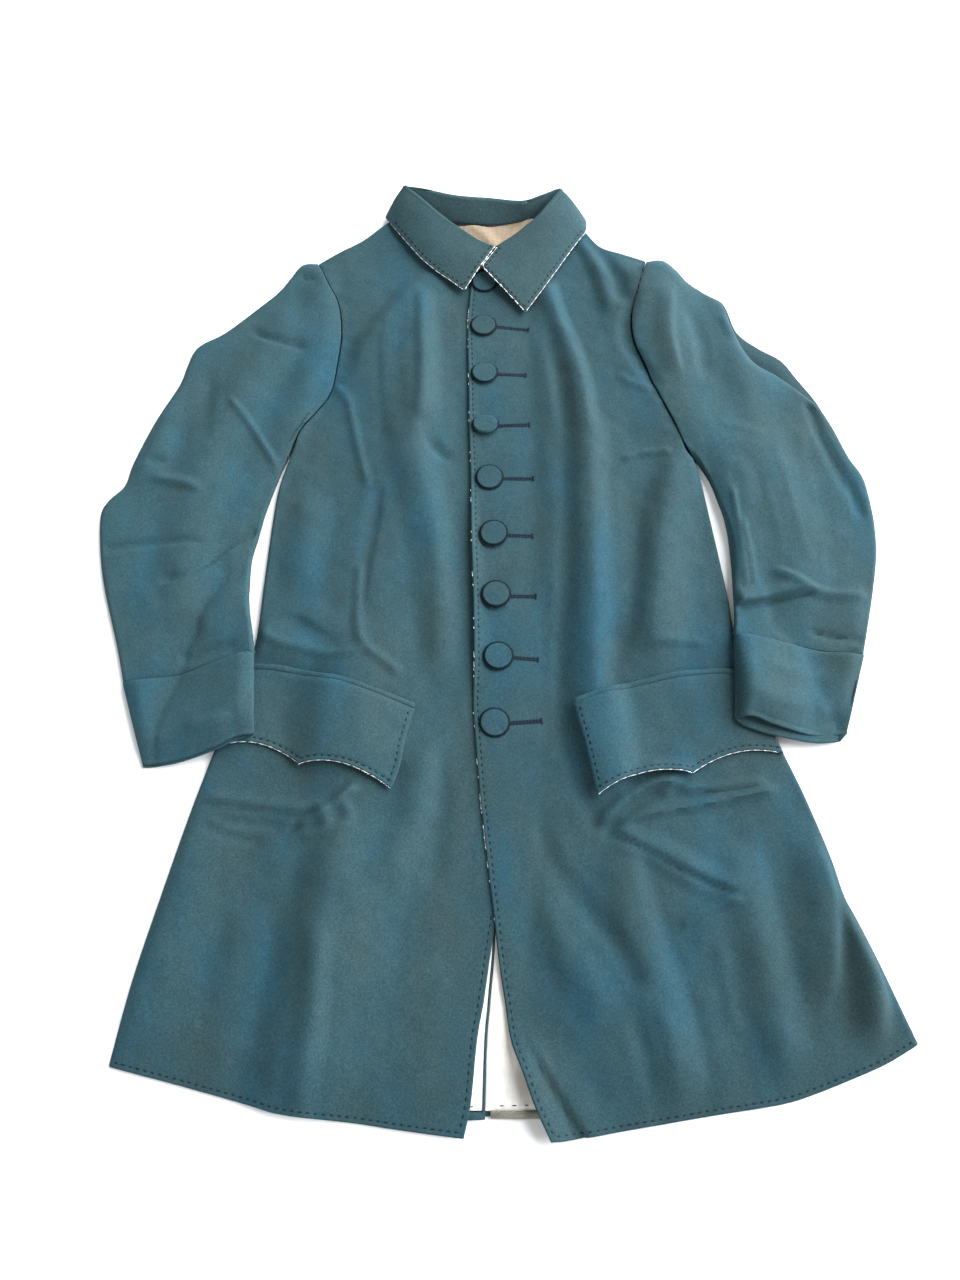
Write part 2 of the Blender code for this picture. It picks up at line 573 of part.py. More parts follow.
# ---------------------------------------------------------------- sleeves and cuffs

class Support:
    """Smooth height of the body of the coat beneath the lower arms, on a coarse map."""

    CELL = 8.0
    REACH = 6           # cells over which a height spreads
    SLOPE = 0.24        # how steeply the cloth falls away from it
    X_RANGE = (-420, 421)
    Y_RANGE = (-260, 121)
    FADE = (-30, 60)    # y over which the sleeves come down to lie on their own

    def __init__(self, pieces):
        heights = Heights(pieces)
        self.x = np.arange(*self.X_RANGE, self.CELL)
        self.y = np.arange(*self.Y_RANGE, self.CELL)
        raw = np.array([[heights.at(x, y) for x in self.x] for y in self.y])
        reach = self.REACH
        padded = np.pad(raw, reach)
        grown = np.zeros_like(raw)
        for dy in range(-reach, reach + 1):
            for dx in range(-reach, reach + 1):
                fall = self.SLOPE * self.CELL * max(0.0, math.hypot(dx, dy) - 1.0)
                window = padded[reach + dy:reach + dy + raw.shape[0],
                                reach + dx:reach + dx + raw.shape[1]]
                grown = np.maximum(grown, window - fall)
        self.map = grown

    def at(self, xy):
        """Height to lie on, faded out above the elbows, where the sleeves lie alone."""
        gx = np.clip((xy[..., 0] - self.x[0]) / self.CELL, 0, len(self.x) - 1.001)
        gy = np.clip((xy[..., 1] - self.y[0]) / self.CELL, 0, len(self.y) - 1.001)
        ix, iy = gx.astype(int), gy.astype(int)
        fx, fy = gx - ix, gy - iy
        value = ((1 - fy) * ((1 - fx) * self.map[iy, ix] + fx * self.map[iy, ix + 1])
                 + fy * ((1 - fx) * self.map[iy + 1, ix] + fx * self.map[iy + 1, ix + 1]))
        clear = CUFF_CLEARANCE * np.clip(value, 0, 1)
        return (value + clear) * (1 - ease(xy[..., 1], *self.FADE))


def sleeve(side_name, outer, back_outer, inner, armhole, seam, folds, support):
    """The upper and the under piece of one sleeve."""
    width, length = SLEEVE_SIZE
    head = by_length(armhole[::-1])

    def piece(outer_curve, u, v):
        return patch(lambda f: head(1 - f), by_length(seam), by_length(inner),
                     by_length(outer_curve), u, v)

    v = divisions(length, SLEEVE_CELL, start=(SEAM_GAP,), end=(SEAM_GAP,))[:, None]
    u = divisions(width, FRONT_CELL, start=(BACK_INSET,), end=(BACK_INSET,))[None, :]
    xy = piece(back_outer, u, v)
    rest = support.at(xy)
    under = wall("sleeve_under_" + side_name, facing_up(lift(xy, rest + CLOTH)), CLOTH,
                 WOOL_DARK, floor=0.0)

    u = divisions(width, SLEEVE_CELL, start=rolled(), end=rolled())[None, :]
    xy = piece(outer, u, v)
    rest = support.at(xy)
    u, v = np.broadcast_arrays(u, v)
    from_head = v * length
    edge_distance = np.minimum(u, 1 - u) * width
    height = SLEEVE_HEIGHT + relief(xy, folds) * ease(edge_distance, 0, 24)
    height = height + SLEEVE_FULLNESS * ease(edge_distance, 0, 40)
    rise = roll_rise(edge_distance)
    open_end = (1 - ease(from_head, 0, SLEEVE_HEAD_OPEN)) * (u < 0.5)
    rise = rise + (1 - rise) * open_end
    low = EDGE_LOW + CLOTH * ease(edge_distance, 0, ROLL)
    z = rest + low + (height - low) * rise
    upper = wall("sleeve_upper_" + side_name, facing_up(lift(xy, z)), CLOTH, WOOL,
                 floor=0.05, rests_on=Heights([under]))
    return [under, upper]


def cuff(side_name, seam, mouth, under_mouth, support):
    """A cuff: a flattened ring open at the hand."""
    radius = CUFF_EDGE_RADIUS
    side_steps = np.array((0.0, 0.3, 1.0)) * radius
    rows = np.linspace(0, 1, 6)
    seam_curve, mouth_curve, under_curve = map(by_length, (seam, mouth, under_mouth))
    u = divisions(CUFF_WIDTH, CUFF_CELL, start=tuple(side_steps), end=tuple(side_steps))

    def face(lower_curve):
        a = seam_curve(u)[None]
        b = lower_curve(u)[None]
        f = rows[:, None, None]
        run = np.linalg.norm(b - a, axis=-1, keepdims=True)
        start = a + (b - a) * (2 * SEAM_GAP / run)
        return start + f * (b - start)

    edge = np.minimum(u, 1 - u) * CUFF_WIDTH
    rise = roll_rise(edge, radius)[None]
    top = face(mouth_curve)
    under = face(under_curve)
    thick = CUFF_THICKNESS + CUFF_SWELL * ease(edge, 0, 35)[None]
    middle = 0.5 * CUFF_THICKNESS
    base_top, base_under = support.at(top), support.at(under)
    z_top = base_top + middle + (thick - middle) * rise
    z_under = base_under + middle - middle * rise
    grid = np.concatenate((lift(top, z_top), lift(under, z_under)[:, -2:0:-1]), axis=1)
    if grid_normals(grid, True)[:, 5, 2].mean() < 0:
        grid = grid[:, ::-1]
    return wall("cuff_" + side_name, grid, FLAP_CLOTH, WOOL, closed=True, floor=0.0)


# ---------------------------------------------------------------- collar and buttons

def collar_section(row):
    """Middle line of one collar section: stand, round fold and turned-down leaf."""
    neck, fold, edge = (np.array(row[k:k + 3], float) for k in (0, 3, 6))
    to_neck = (neck - fold) / np.linalg.norm(neck - fold)
    to_edge = (edge - fold) / np.linalg.norm(edge - fold)
    nose = -(to_neck + to_edge)
    nose /= np.linalg.norm(nose)
    across = to_edge - (to_edge @ nose) * nose
    across /= np.linalg.norm(across)
    radius = COLLAR_FOLD_RADIUS
    centre = fold - radius * nose
    turn = [centre + radius * (math.sin(a) * nose - math.cos(a) * across)
            for a in np.radians((0, 45, 90, 135, 180))]
    leaf = []
    sideways = np.cross((0, 0, 1), to_edge)
    for step in LEAF_STEPS:
        point = turn[-1] + step * (edge - turn[-1])
        bow = row[9] * min(step / BOW_PEAK, (1 - step) / (1 - BOW_PEAK))
        point = point + bow * sideways
        leaf.append(point + (0, 0, LEAF_SWELL * math.sin(math.pi * step)))
    return [neck, 0.5 * (neck + turn[0])] + turn + leaf


def collar():
    """The collar, one band folded over and swept round the neck."""
    middle = np.array([collar_section(row) for row in COLLAR_SECTIONS])
    grid = middle + 0.5 * COLLAR_CLOTH * grid_normals(middle, False)
    return wall("collar", grid, COLLAR_CLOTH, WOOL, floor=0.05)


def button(number, place, below):
    """A cloth-covered button: a low dome over a flat back."""
    x, y = place
    radius = 0.5 * BUTTON_DIAMETER
    ring = [(x + radius * math.cos(a), y + radius * math.sin(a))
            for a in np.linspace(0, 2 * math.pi, 8, endpoint=False)]
    seat = max(below.at(px, py) for px, py in ring + [(x, y)]) + GAP
    vertices = []
    for fraction, rise in BUTTON_PROFILE:
        for k in range(BUTTON_SIDES):
            angle = 2 * math.pi * k / BUTTON_SIDES
            vertices.append((fraction * radius * math.cos(angle) * MM,
                             fraction * radius * math.sin(angle) * MM,
                             rise * BUTTON_HEIGHT * MM))
    faces = [tuple(reversed(range(BUTTON_SIDES)))]
    for ring_index in range(len(BUTTON_PROFILE) - 1):
        for k in range(BUTTON_SIDES):
            a = ring_index * BUTTON_SIDES + k
            b = ring_index * BUTTON_SIDES + (k + 1) % BUTTON_SIDES
            faces.append((a, b, b + BUTTON_SIDES, a + BUTTON_SIDES))
    last = (len(BUTTON_PROFILE) - 1) * BUTTON_SIDES
    faces.append(tuple(range(last, last + BUTTON_SIDES)))
    mesh = bpy.data.meshes.new(f"button_{number}")
    mesh.from_pydata(vertices, [], faces)
    mesh.shade_smooth()
    mesh.materials.append(material(f"button_{number}_cloth", WOOL, 0.8))
    piece = bpy.data.objects.new(f"button_{number}", mesh)
    piece.location = (x * MM, y * MM, seat * MM)
    bpy.context.scene.collection.objects.link(piece)
    return piece


# ---------------------------------------------------------------- assembly

def build():
    for old in list(bpy.data.objects):
        bpy.data.objects.remove(old, do_unlink=True)

    backs = [
        back_panel("back_right", BACK_SEAM, RIGHT_BACK_HEM, RIGHT_BACK_NECK,
                   RIGHT_SHOULDER, RIGHT_SIDE, RIGHT_ARMHOLE, -1),
        back_panel("back_left", BACK_SEAM, LEFT_BACK_HEM, LEFT_BACK_NECK,
                   LEFT_SHOULDER, LEFT_SIDE, LEFT_ARMHOLE, 1),
    ]
    base = Heights(backs)
    linings = [
        neck_lining(base),
        skirt_lining("skirt_lining_right", BACK_SEAM, -1, base),
        skirt_lining("skirt_lining_left", BACK_SEAM, 1, base),
    ]
    inside = backs + linings
    front_right = front_panel("front_right", UNDER_LAP_EDGE, RIGHT_HEM, RIGHT_NECK,
                              RIGHT_SHOULDER, RIGHT_SIDE, RIGHT_ARMHOLE, RIGHT_FOLDS,
                              UNDER_LAP_HEIGHT, linings)
    front_left = front_panel("front_left", FRONT_EDGE, LEFT_HEM, LEFT_NECK,
                             LEFT_SHOULDER, LEFT_SIDE, LEFT_ARMHOLE, LEFT_FOLDS,
                             UNDER_LAP_HEIGHT, linings + [front_right])
    fronts = [front_right, front_left]
    pockets = pocket("right", RIGHT_FLAP_TOP, RIGHT_FLAP_INNER, RIGHT_FLAP_POINTS,
                     [front_right])
    pockets += pocket("left", LEFT_FLAP_TOP, LEFT_FLAP_INNER, LEFT_FLAP_POINTS,
                      [front_left])

    support = Support(inside + fronts + pockets)
    sleeve("right", RIGHT_SLEEVE_OUTER, RIGHT_SLEEVE_OUTER, RIGHT_SLEEVE_INNER,
           RIGHT_ARMHOLE, RIGHT_CUFF_SEAM, RIGHT_SLEEVE_FOLDS, support)
    cuff("right", RIGHT_CUFF_SEAM, RIGHT_CUFF_MOUTH, RIGHT_CUFF_UNDER, support)
    sleeve("left", LEFT_SLEEVE_OUTER, LEFT_SLEEVE_BACK, LEFT_SLEEVE_INNER,
           LEFT_ARMHOLE, LEFT_CUFF_SEAM, LEFT_SLEEVE_FOLDS, support)
    cuff("left", LEFT_CUFF_SEAM, LEFT_CUFF_MOUTH, LEFT_CUFF_UNDER, support)

    collar()
    layers = Heights(fronts)
    for number, place in enumerate(BUTTONS, start=1):
        button(number, place, layers)


def centre():
    """Move everything so that the origin is at the centre of the box's floor."""
    bpy.context.view_layer.update()
    pieces = [piece for piece in bpy.data.objects if piece.type == "MESH"]
    corners = np.array([piece.matrix_world @ vertex.co
                        for piece in pieces for vertex in piece.data.vertices])
    middle = 0.5 * (corners.min(axis=0) + corners.max(axis=0))
    middle[2] = corners[:, 2].min()
    for piece in pieces:
        piece.location -= Vector(middle)


build()
centre()
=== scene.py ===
"""The looks of the frock coat: thin cloth on the forms of its solids, stitches and light.

Lengths are in millimetres in the coat's own plan, as in the part's source. +X is the
wearer's left, +Y runs from the hem to the collar and +Z away from the floor. SHIFT turns
the plan into the frame, whose origin is at the middle of the solids' box.
"""
import math

import bpy
import numpy as np
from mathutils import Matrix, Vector
from mathutils.bvhtree import BVHTree


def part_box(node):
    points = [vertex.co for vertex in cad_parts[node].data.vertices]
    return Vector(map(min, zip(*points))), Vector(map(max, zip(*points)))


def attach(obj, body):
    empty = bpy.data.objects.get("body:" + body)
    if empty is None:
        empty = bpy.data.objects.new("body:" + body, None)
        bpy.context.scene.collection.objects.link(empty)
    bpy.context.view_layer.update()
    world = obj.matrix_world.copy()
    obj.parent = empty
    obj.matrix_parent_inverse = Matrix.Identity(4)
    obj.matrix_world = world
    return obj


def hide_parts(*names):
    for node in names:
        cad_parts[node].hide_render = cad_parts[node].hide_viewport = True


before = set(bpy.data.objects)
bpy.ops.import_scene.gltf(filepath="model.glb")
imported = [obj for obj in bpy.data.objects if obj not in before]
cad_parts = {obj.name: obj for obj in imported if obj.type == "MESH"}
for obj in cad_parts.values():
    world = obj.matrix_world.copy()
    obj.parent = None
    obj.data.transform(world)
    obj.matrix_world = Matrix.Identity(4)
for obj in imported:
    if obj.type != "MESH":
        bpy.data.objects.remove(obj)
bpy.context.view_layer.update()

MM = 0.001
BUTTONS = ((-2, 375), (-3, 315), (-2, 252), (-1, 186), (3, 122), (7, 56), (9, -12), (11, -77),
    (7, -144))
first_button = 0.5 * (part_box("button_1")[0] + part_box("button_1")[1])
SHIFT = Vector((first_button.x - BUTTONS[0][0] * MM, first_button.y - BUTTONS[0][1] * MM, 0))

# ---------------------------------------------------------------- sizes

CLOTH = 2.0             # broadcloth, fulled thick
FLAP_CLOTH = 2.6        # flaps and cuffs, two layers sewn together
COLLAR_CLOTH = 2.8
LINEN = 1.0
TRIM = 0.8              # strips of facing at the hem and the vent
GAP = 0.4               # clear space between pieces that touch
SEAM_GAP = 0.35
ROLL = 4.6              # radius of a soft edge where the cloth turns under
BACK_INSET = 5.2        # the back lies this far inside the rolled edge of the fronts
SHOULDER_INSET = 9.0
# Distances from the coat's middle, or places along x or y, between which a form sets in.
NECK_END = (60, 100)            # the shoulder inset of the back
ARM_END = (120, 180)            # the side inset of the back
BACK_NECK_END = (95, 130)       # from the raised neck of the back to its flat shoulders
FRONT_NECK_END = (88, 112)      # from the open neck edge of a front to its rolled shoulder
LAP_MIDDLE = 8
LAP_END = (20, 62)              # from that line of the buttons to where the lap ends
PUFFS_END = (-180, -140)        # below the lowest button the lap lies flat
LINING_END = ((72, 95), (-300, -270))   # of the skirt lining, under which the back is flat
NECK_RISE = (400, 455)
FRONT_HEIGHT = 6.4      # outer face of a front just inside its rolled side edge
UNDER_LAP_HEIGHT = 6.2
HEM_HEIGHT = 2.9
HEM_RISE = 44.0
SLEEVE_HEIGHT = 7.0
CUFF_HEIGHT = 9.4
CUFF_ROLL = 5.0
POCKET_CLEARANCE = 0.7
CUFF_CLEARANCE = 1.5
FLAP_DROP = 80.0
WELT_WIDTH = 5.0
SCALLOP_RISE = 11.0
SCALLOP_STEPS = 36
BUTTON_PITCH = 64.0
BUTTON_DIAMETER = 28.6
BUTTON_HEIGHT = 2.1
BUTTON_SIDES = 56
BUTTON_PLEATS = 15

# How far each kind of cloth bridges what is below, and the slope at which it comes down.
LINING_REST = (4.0, 0.1)
FRONT_REST = (27.0, 0.07)
POCKET_REST = (14.0, 0.03)
ARM_REST = (60.0, 0.17)
TRIM_REST = (3.0, 0.0)

CELL = 3.3              # grid of the fronts
SLEEVE_CELL = 3.0
FLAP_CELL = 2.6
CUFF_CELL = 3.2
BACK_CELL = 9.0
LINEN_CELL = 4.0
FRONT_SIZE = (300.0, 880.0)     # nominal sizes of the patches, for counting their cells
SLEEVE_SIZE = (150.0, 420.0)
CUFF_SIZE = (125.0, 90.0)
EDGE_STEPS = (0.0, 1.0, 2.4, 3.8, 4.8, 5.6, 6.4, 7.4, 9.0, 11.5)
ROLL_STEPS = (0.0, 0.3, 0.8, 1.6, 2.7, 4.0, 6.0, 8.5)
SEAM_STEPS = (SEAM_GAP, 1.2, 2.4, 4.0)

STITCH_INSET = 4.0      # from a cut edge to its line of prick stitches
STITCH_STEP = 6.6
STITCH_SIZE = (3.3, 1.8, 0.55)         # length, width and height of one stitch
STEEPEST = 0.3          # rise of the normal where cloth is too steep to take a stitch
RIM_STEP = 1.2          # between the points of a raw edge
SHARP_ANGLE = 62        # between faces, in degrees, from which their edge isn't smoothed
ABOVE_ALL = 200.0

# ---------------------------------------------------------------- edge curves and folds
# An edge curve is a short list of (x, y) points, from the hem or outer end upwards, or for
# a sleeve from the shoulder down. A fold is a height (negative for a trough), its width on
# its +X or +Y side, its width on its other side, and the line it follows, which runs down
# the coat or towards +X.

FOLD_DEPTH = 1.5        # the heights of all folds are scaled by it

BUTTONHOLE_ENDS = ((47, 310), (43, 250), (46, 187), (49, 121), (47, 54), (49, -13), (50, -80),
    (52, -142))
BACK_SEAM = ((-4, -484), (-2, -425), (1, -393), (6, -330), (8, -200), (8, 0), (6, 200), (4, 458))


class Right:
    """Edge curves and folds of the half on the wearer's right."""

    name, sign = "right", -1
    side = ((-325.5, -445.5), (-313.5, -376), (-297.5, -308), (-279.5, -236), (-263.5, -179),
        (-242.5, -110), (-229.8, -58), (-226.8, 0), (-222.8, 75), (-218.8, 115), (-209.8, 150))
    armhole = ((-209.8, 150), (-199, 180), (-182, 206), (-169, 229), (-164, 262), (-161, 305),
        (-166, 345), (-179, 373), (-194, 406))
    hem = ((-21, -501), (-74, -494.5), (-111, -489.5), (-173, -482.5), (-198, -476.5),
        (-258.5, -461.5), (-296.5, -452.5), (-325.5, -445.5))
    neck = ((16, 385), (-12, 383), (-32, 394), (-54, 413), (-78, 442), (-98, 473))
    shoulder = ((-98, 473), (-116, 465), (-144, 439), (-169, 423), (-194, 406))
    edge = ((-21, -501), (-15, -472), (-10, -425), (-4, -393), (1, -360), (6, -330), (14, -285),
        (22, -220), (27, -144), (29, 0), (27, 180), (16, 385))
    back_hem = ((-4, -484), (-17, -486), (-111, -472), (-198, -459), (-257, -443), (-304, -427))
    back_neck = ((4, 458), (-33, 460), (-62, 466), (-96, 467))
    sleeve_outer = ((-195.5, 407), (-213, 405), (-225, 386), (-237, 367), (-257, 346), (-293, 311),
        (-318, 295), (-327, 283), (-332, 264), (-338, 240), (-359, 194), (-376, 144), (-382, 116),
        (-397, 98), (-403, 80), (-397, 35), (-387, -5), (-367, -65), (-356, -103))
    sleeve_back = sleeve_outer
    sleeve_inner = ((-211.3, 149), (-217, 132), (-224, 108), (-231, 80), (-236, 52), (-240, 28),
        (-239, -5), (-236, -28), (-230, -56), (-227, -75))
    cuff_seam = ((-227, -75), (-238, -76), (-268, -86), (-297, -95), (-356, -103))
    cuff_mouth = ((-220, -157), (-238, -160), (-257, -169), (-293, -180), (-327, -184))
    cuff_under = ((-221, -158), (-238, -162), (-257, -171), (-293, -182), (-327, -186))
    flap_top = ((-70, -131), (-104, -119), (-138, -107), (-162, -102), (-202, -93), (-231, -91))
    flap_inner = ((-90, -208), (-83, -188), (-79, -165), (-74, -145), (-70, -131))
    flap_points = ((-90, -208), (-177, -185), (-252, -166))
    # Folds of the front, of the sleeve, and across the seam between them.
    folds = (
        (4.0, 85, 85, ((-95, 330), (-90, 160), (-110, -20), (-120, -150))),
        (3.0, 80, 80, ((-130, -200), (-150, -300), (-170, -420))),
        # chest: the ridge beside the front edge, and the dimple in it
        (5.3, 28, 38, ((-76, 356), (-74, 290), (-73, 220), (-77, 160), (-66, 110), (-51, 50),
         (-43, 0), (-36, -60), (-32, -112))),
        (2.6, 18, 14, ((-72, 370), (-70, 330), (-68, 280), (-67, 230), (-69, 180))),
        (1.6, 10, 20, ((-22, 350), (-20, 300), (-18, 230), (-16, 170))),
        (-2.8, 16, 7, ((-66, 178), (-59, 158), (-44, 146), (-26, 150))),
        # from the collar to the armhole, and the ridge below it
        (5.4, 62, 23, ((-30, 402), (-70, 374), (-100, 336), (-127, 294), (-140, 258),
         (-146, 222))),
        (1.1, 18, 12, ((-108, 338), (-110, 280), (-107, 220), (-100, 160))),
        (1.7, 5, 9, ((-176, 246), (-152, 222), (-144, 194), (-134, 152), (-122, 106))),
        # side of the body
        (-1.6, 9, 16, ((-111, 120), (-117, 60), (-124, 10), (-128, -38))),
        (1.8, 6, 9, ((-128, 26), (-128, -20), (-126, -52), (-116, -70), (-98, -84), (-80, -97))),
        (3.0, 30, 32, ((-178, 116), (-187, 40), (-182, -24))),
        (2.0, 34, 5, ((-206, -22), (-178, -38), (-158, -51), (-136, -66))),
        (1.5, 9, 5, ((-240, -38), (-212, -60), (-184, -69), (-150, -76), (-116, -72))),
        (3.2, 26, 30, ((-256, -40), (-214, -60), (-184, -68), (-146, -74))),
        # the long ridge under the flap, down to the hem
        (7.6, 84, 50, ((-118, -30), (-130, -90), (-138, -140), (-140, -190), (-138, -240))),
        (7.6, 84, 42, ((-126, -176), (-132, -245), (-139, -300), (-152, -350), (-161, -400),
         (-171, -440), (-184, -496), (-200, -560))),
        (2.2, 62, 20, ((-256, -180), (-288, -300), (-308, -400), (-326, -480))),
        # skirt
        (4.2, 20, 30, ((-58, -150), (-64, -215), (-76, -262), (-98, -308))),
        (-1.6, 22, 14, ((-38, -180), (-43, -228), (-47, -270), (-50, -312))),
        (1.5, 14, 40, ((-130, -402), (-94, -380), (-56, -368), (-16, -360))),
        (3.4, 15, 22, ((-146, -320), (-148, -360), (-149, -402), (-154, -450), (-160, -510))),
        (1.0, 30, 26, ((-262, -250), (-272, -320), (-284, -400))),
        (1.6, 30, 26, ((-214, -300), (-222, -380), (-236, -470))),
        # creases under the flap
        (2.2, 14, 3.4, ((-272, -217), (-236, -220), (-200, -225), (-166, -227), (-140, -220))),
        (-1.4, 7, 9, ((-256, -234), (-222, -240), (-184, -243))),
        (-1.2, 8, 8, ((-266, -240), (-240, -251), (-204, -259))),
        (4.8, 9, 6, ((-178, -247), (-162, -237), (-148, -228), (-134, -216), (-118, -203))),
        (2.6, 9, 11, ((-159, -216), (-152, -230), (-143, -248))),
        (1.8, 8, 9, ((-138, -212), (-130, -226), (-121, -242))),
        (2.0, 8, 10, ((-176, -252), (-156, -249), (-136, -243), (-120, -236))),
    )
    sleeve_folds = (
        (3.5, 40, 40, ((-200, 350), (-260, 240), (-300, 120), (-310, -60))),
        (-2.4, 8, 5, ((-264, 310), (-245, 298), (-225, 291), (-197, 285))),
        (-2.6, 4, 4, ((-214, 383), (-205, 381), (-194, 384))),
        (1.6, 4, 9, ((-280, 222), (-256, 192), (-236, 161), (-218, 132))),
        (2.6, 12, 5, ((-358, 123), (-330, 117), (-294, 105))),
        (-1.6, 6, 8, ((-364, 142), (-350, 143), (-334, 141))),
        (-1.8, 9, 4, ((-400, 37), (-365, 43), (-322, 46), (-290, 46))),
        (-2.6, 10, 4, ((-334, 2), (-306, 8), (-285, 22), (-262, 44), (-232, 62))),
        (2.4, 26, 22, ((-345, 230), (-352, 160), (-372, 100))),
        (1.0, 14, 14, ((-346, 0), (-340, -20), (-332, -40))),
        (-1.8, 10, 10, ((-306, -84), (-272, -74), (-240, -65))),
        (-1.0, 10, 16, ((-306, 270), (-302, 210), (-300, 160))),
    )
    seam_folds = (
        (2.6, 24, 34, ((-190, 430), (-186, 350), (-183, 290), (-196, 224), (-214, 170),
         (-226, 140))),
    )
    corner_folds = ()


class Left:
    """Edge curves and folds of the half on the wearer's left."""

    name, sign = "left", 1
    side = ((371.5, -428), (358.5, -393), (346.5, -360), (332.5, -325), (323.5, -304),
        (316.5, -273), (305.5, -236), (292.5, -198), (269.5, -140), (257.5, -110), (247, -58),
        (244, -15), (239, 29), (233, 76), (227, 120), (221, 144))
    armhole = ((221, 144), (211, 159), (197, 194), (183, 230), (175, 256), (164, 287), (161, 310),
        (163, 335), (172, 366), (185, 410))
    hem = ((52, -502), (74, -501), (135, -492), (187, -484), (248, -475), (277.5, -467),
        (314.5, -454), (342.5, -443), (371.5, -428))
    neck = ((-16, 376), (6, 386), (30, 403), (56, 428), (78, 450), (94, 472))
    shoulder = ((94, 472), (115, 453), (133, 430), (160, 419), (185, 410))
    edge = ((52, -502), (39, -475), (29, -448), (20, -425), (15, -393), (10, -360), (6, -322),
        (2, -291), (-2, -255), (-7, -209), (-12, -144), (-13, -122), (-12, -77), (-13, -11),
        (-15, 57), (-16, 124), (-18, 187), (-19, 253), (-20, 317), (-16, 376))
    back_hem = ((-4, -484), (44, -485), (135, -473), (187, -466), (248, -456), (313, -435),
        (352, -412))
    back_neck = ((4, 458), (22, 462), (56, 471), (91, 466))
    sleeve_outer = ((186.5, 410), (206, 411), (221, 396), (231, 381), (248, 366), (268, 350),
        (277, 318), (286, 291), (299, 269), (321, 253), (343, 233), (361, 214), (373, 190),
        (387, 150), (399, 125), (403, 88), (403, 62), (400, 33), (390, -10), (372, -74))
    sleeve_back = ((186.5, 410), (206, 411), (221, 396), (231, 381), (250, 372), (274, 360),
        (286, 320), (308, 298), (333, 281), (348, 257), (366, 227), (374, 206), (376, 190),
        (387, 150), (399, 125), (403, 88), (403, 62), (400, 33), (390, -10), (372, -74))
    sleeve_inner = ((222.5, 143.5), (233, 130), (243, 100), (249, 60), (249, 25), (247, -7),
        (245, -38), (243, -54))
    cuff_seam = ((243, -54), (275, -60), (310, -67), (341, -72), (372, -74))
    cuff_mouth = ((238, -141), (254, -141), (272, -148), (310, -156), (345, -153))
    cuff_under = ((236, -140), (245, -148), (272, -157), (310, -163), (338, -161))
    flap_top = ((83, -128), (109, -119), (148, -108), (188, -99), (221, -95), (250, -95))
    flap_inner = ((102, -214), (98, -196), (92, -165), (87, -145), (83, -128))
    flap_points = ((102, -214), (192, -193), (280, -174))
    # Folds of the front, of the sleeve, and across the seam between them.
    folds = (
        (4.0, 85, 85, ((120, 330), (120, 160), (135, -20), (140, -150))),
        (3.0, 80, 80, ((150, -200), (180, -300), (210, -420))),
        (4.2, 34, 110, ((96, -250), (122, -350), (138, -440), (146, -540))),
        # chest: the swelling by the buttonholes, a hollow, then the long ridge to the skirt
        (2.3, 24, 46, ((42, 350), (52, 306), (62, 266), (68, 220), (70, 160), (69, 110), (67, 60),
         (65, 10), (62, -60))),
        (-1.2, 16, 12, ((62, 350), (74, 290), (80, 236), (83, 170), (82, 100), (79, 20), (74, -50),
         (69, -110), (72, -160), (86, -212), (106, -248))),
        (6.0, 17, 28, ((66, 390), (76, 335), (90, 290), (101, 245), (106, 200), (107, 160))),
        (6.8, 27, 37, ((106, 210), (107, 170), (107, 140), (106, 70), (105, 0), (103, -60),
         (103, -110), (110, -170), (118, -226))),
        (4.0, 20, 40, ((121, -236), (128, -276), (134, -310), (147, -355), (158, -392),
         (170, -440), (175, -496))),
        # flank
        (-1.8, 20, 20, ((152, 140), (150, 90), (146, 20), (136, -40), (124, -86))),
        (6.6, 44, 28, ((210, 170), (196, 122), (185, 78), (177, 30), (171, -20), (162, -60),
         (140, -94))),
        # shoulder and armhole
        (3.0, 15, 14, ((106, 452), (122, 408), (133, 372), (140, 330))),
        (-2.4, 13, 12, ((128, 440), (141, 404), (152, 374), (156, 340))),
        (2.0, 7, 6, ((140, 141), (165, 150), (198, 153))),
        (1.8, 12, 5, ((150, -68), (180, -63), (222, -63))),
        (1.0, 8, 8, ((140, 250), (160, 236), (182, 226))),
        # hip creases below the flap
        (4.6, 11, 5.5, ((100, -246), (116, -230), (136, -214), (160, -203), (186, -199))),
        (-3.6, 6, 8, ((104, -250), (124, -234), (144, -219), (168, -208))),
        (2.6, 8, 4, ((176, -207), (206, -207), (232, -204), (264, -200))),
        (3.2, 11, 4, ((112, -240), (150, -232), (190, -225), (230, -217), (276, -208))),
        (3.0, 20, 4, ((104, -242), (130, -252), (154, -266), (182, -281), (212, -295),
         (238, -304))),
        (1.6, 4, 12, ((112, -258), (142, -266), (166, -281), (196, -297), (230, -309))),
        (2.4, 6, 7, ((168, -332), (186, -322), (204, -313), (230, -306))),
        # skirt
        (2.5, 26, 28, ((8, -256), (38, -305), (62, -342), (88, -380), (106, -424))),
        (-2.0, 18, 14, ((28, -216), (58, -276), (84, -312), (116, -352), (140, -396))),
        (4.4, 26, 34, ((228, -250), (238, -310), (245, -360), (250, -405), (256, -470))),
        (0.8, 12, 10, ((202, -334), (208, -380), (212, -424))),
        (1.7, 18, 14, ((148, -386), (158, -440), (166, -500))),
        (-1.0, 12, 12, ((124, -404), (136, -450), (142, -500))),
        (1.0, 18, 16, ((186, -370), (194, -430), (203, -486))),
        (-0.6, 12, 12, ((222, -394), (236, -440), (245, -480))),
        # the roll beside the hip, the hollow behind it and the corner of the skirt
        (6.4, 12, 42, ((303, -226), (307, -290), (306, -340), (299, -376), (282, -408))),
        (9.0, 20, 27, ((328, -270), (334, -330), (337, -372), (335, -404), (328, -436))),
    )
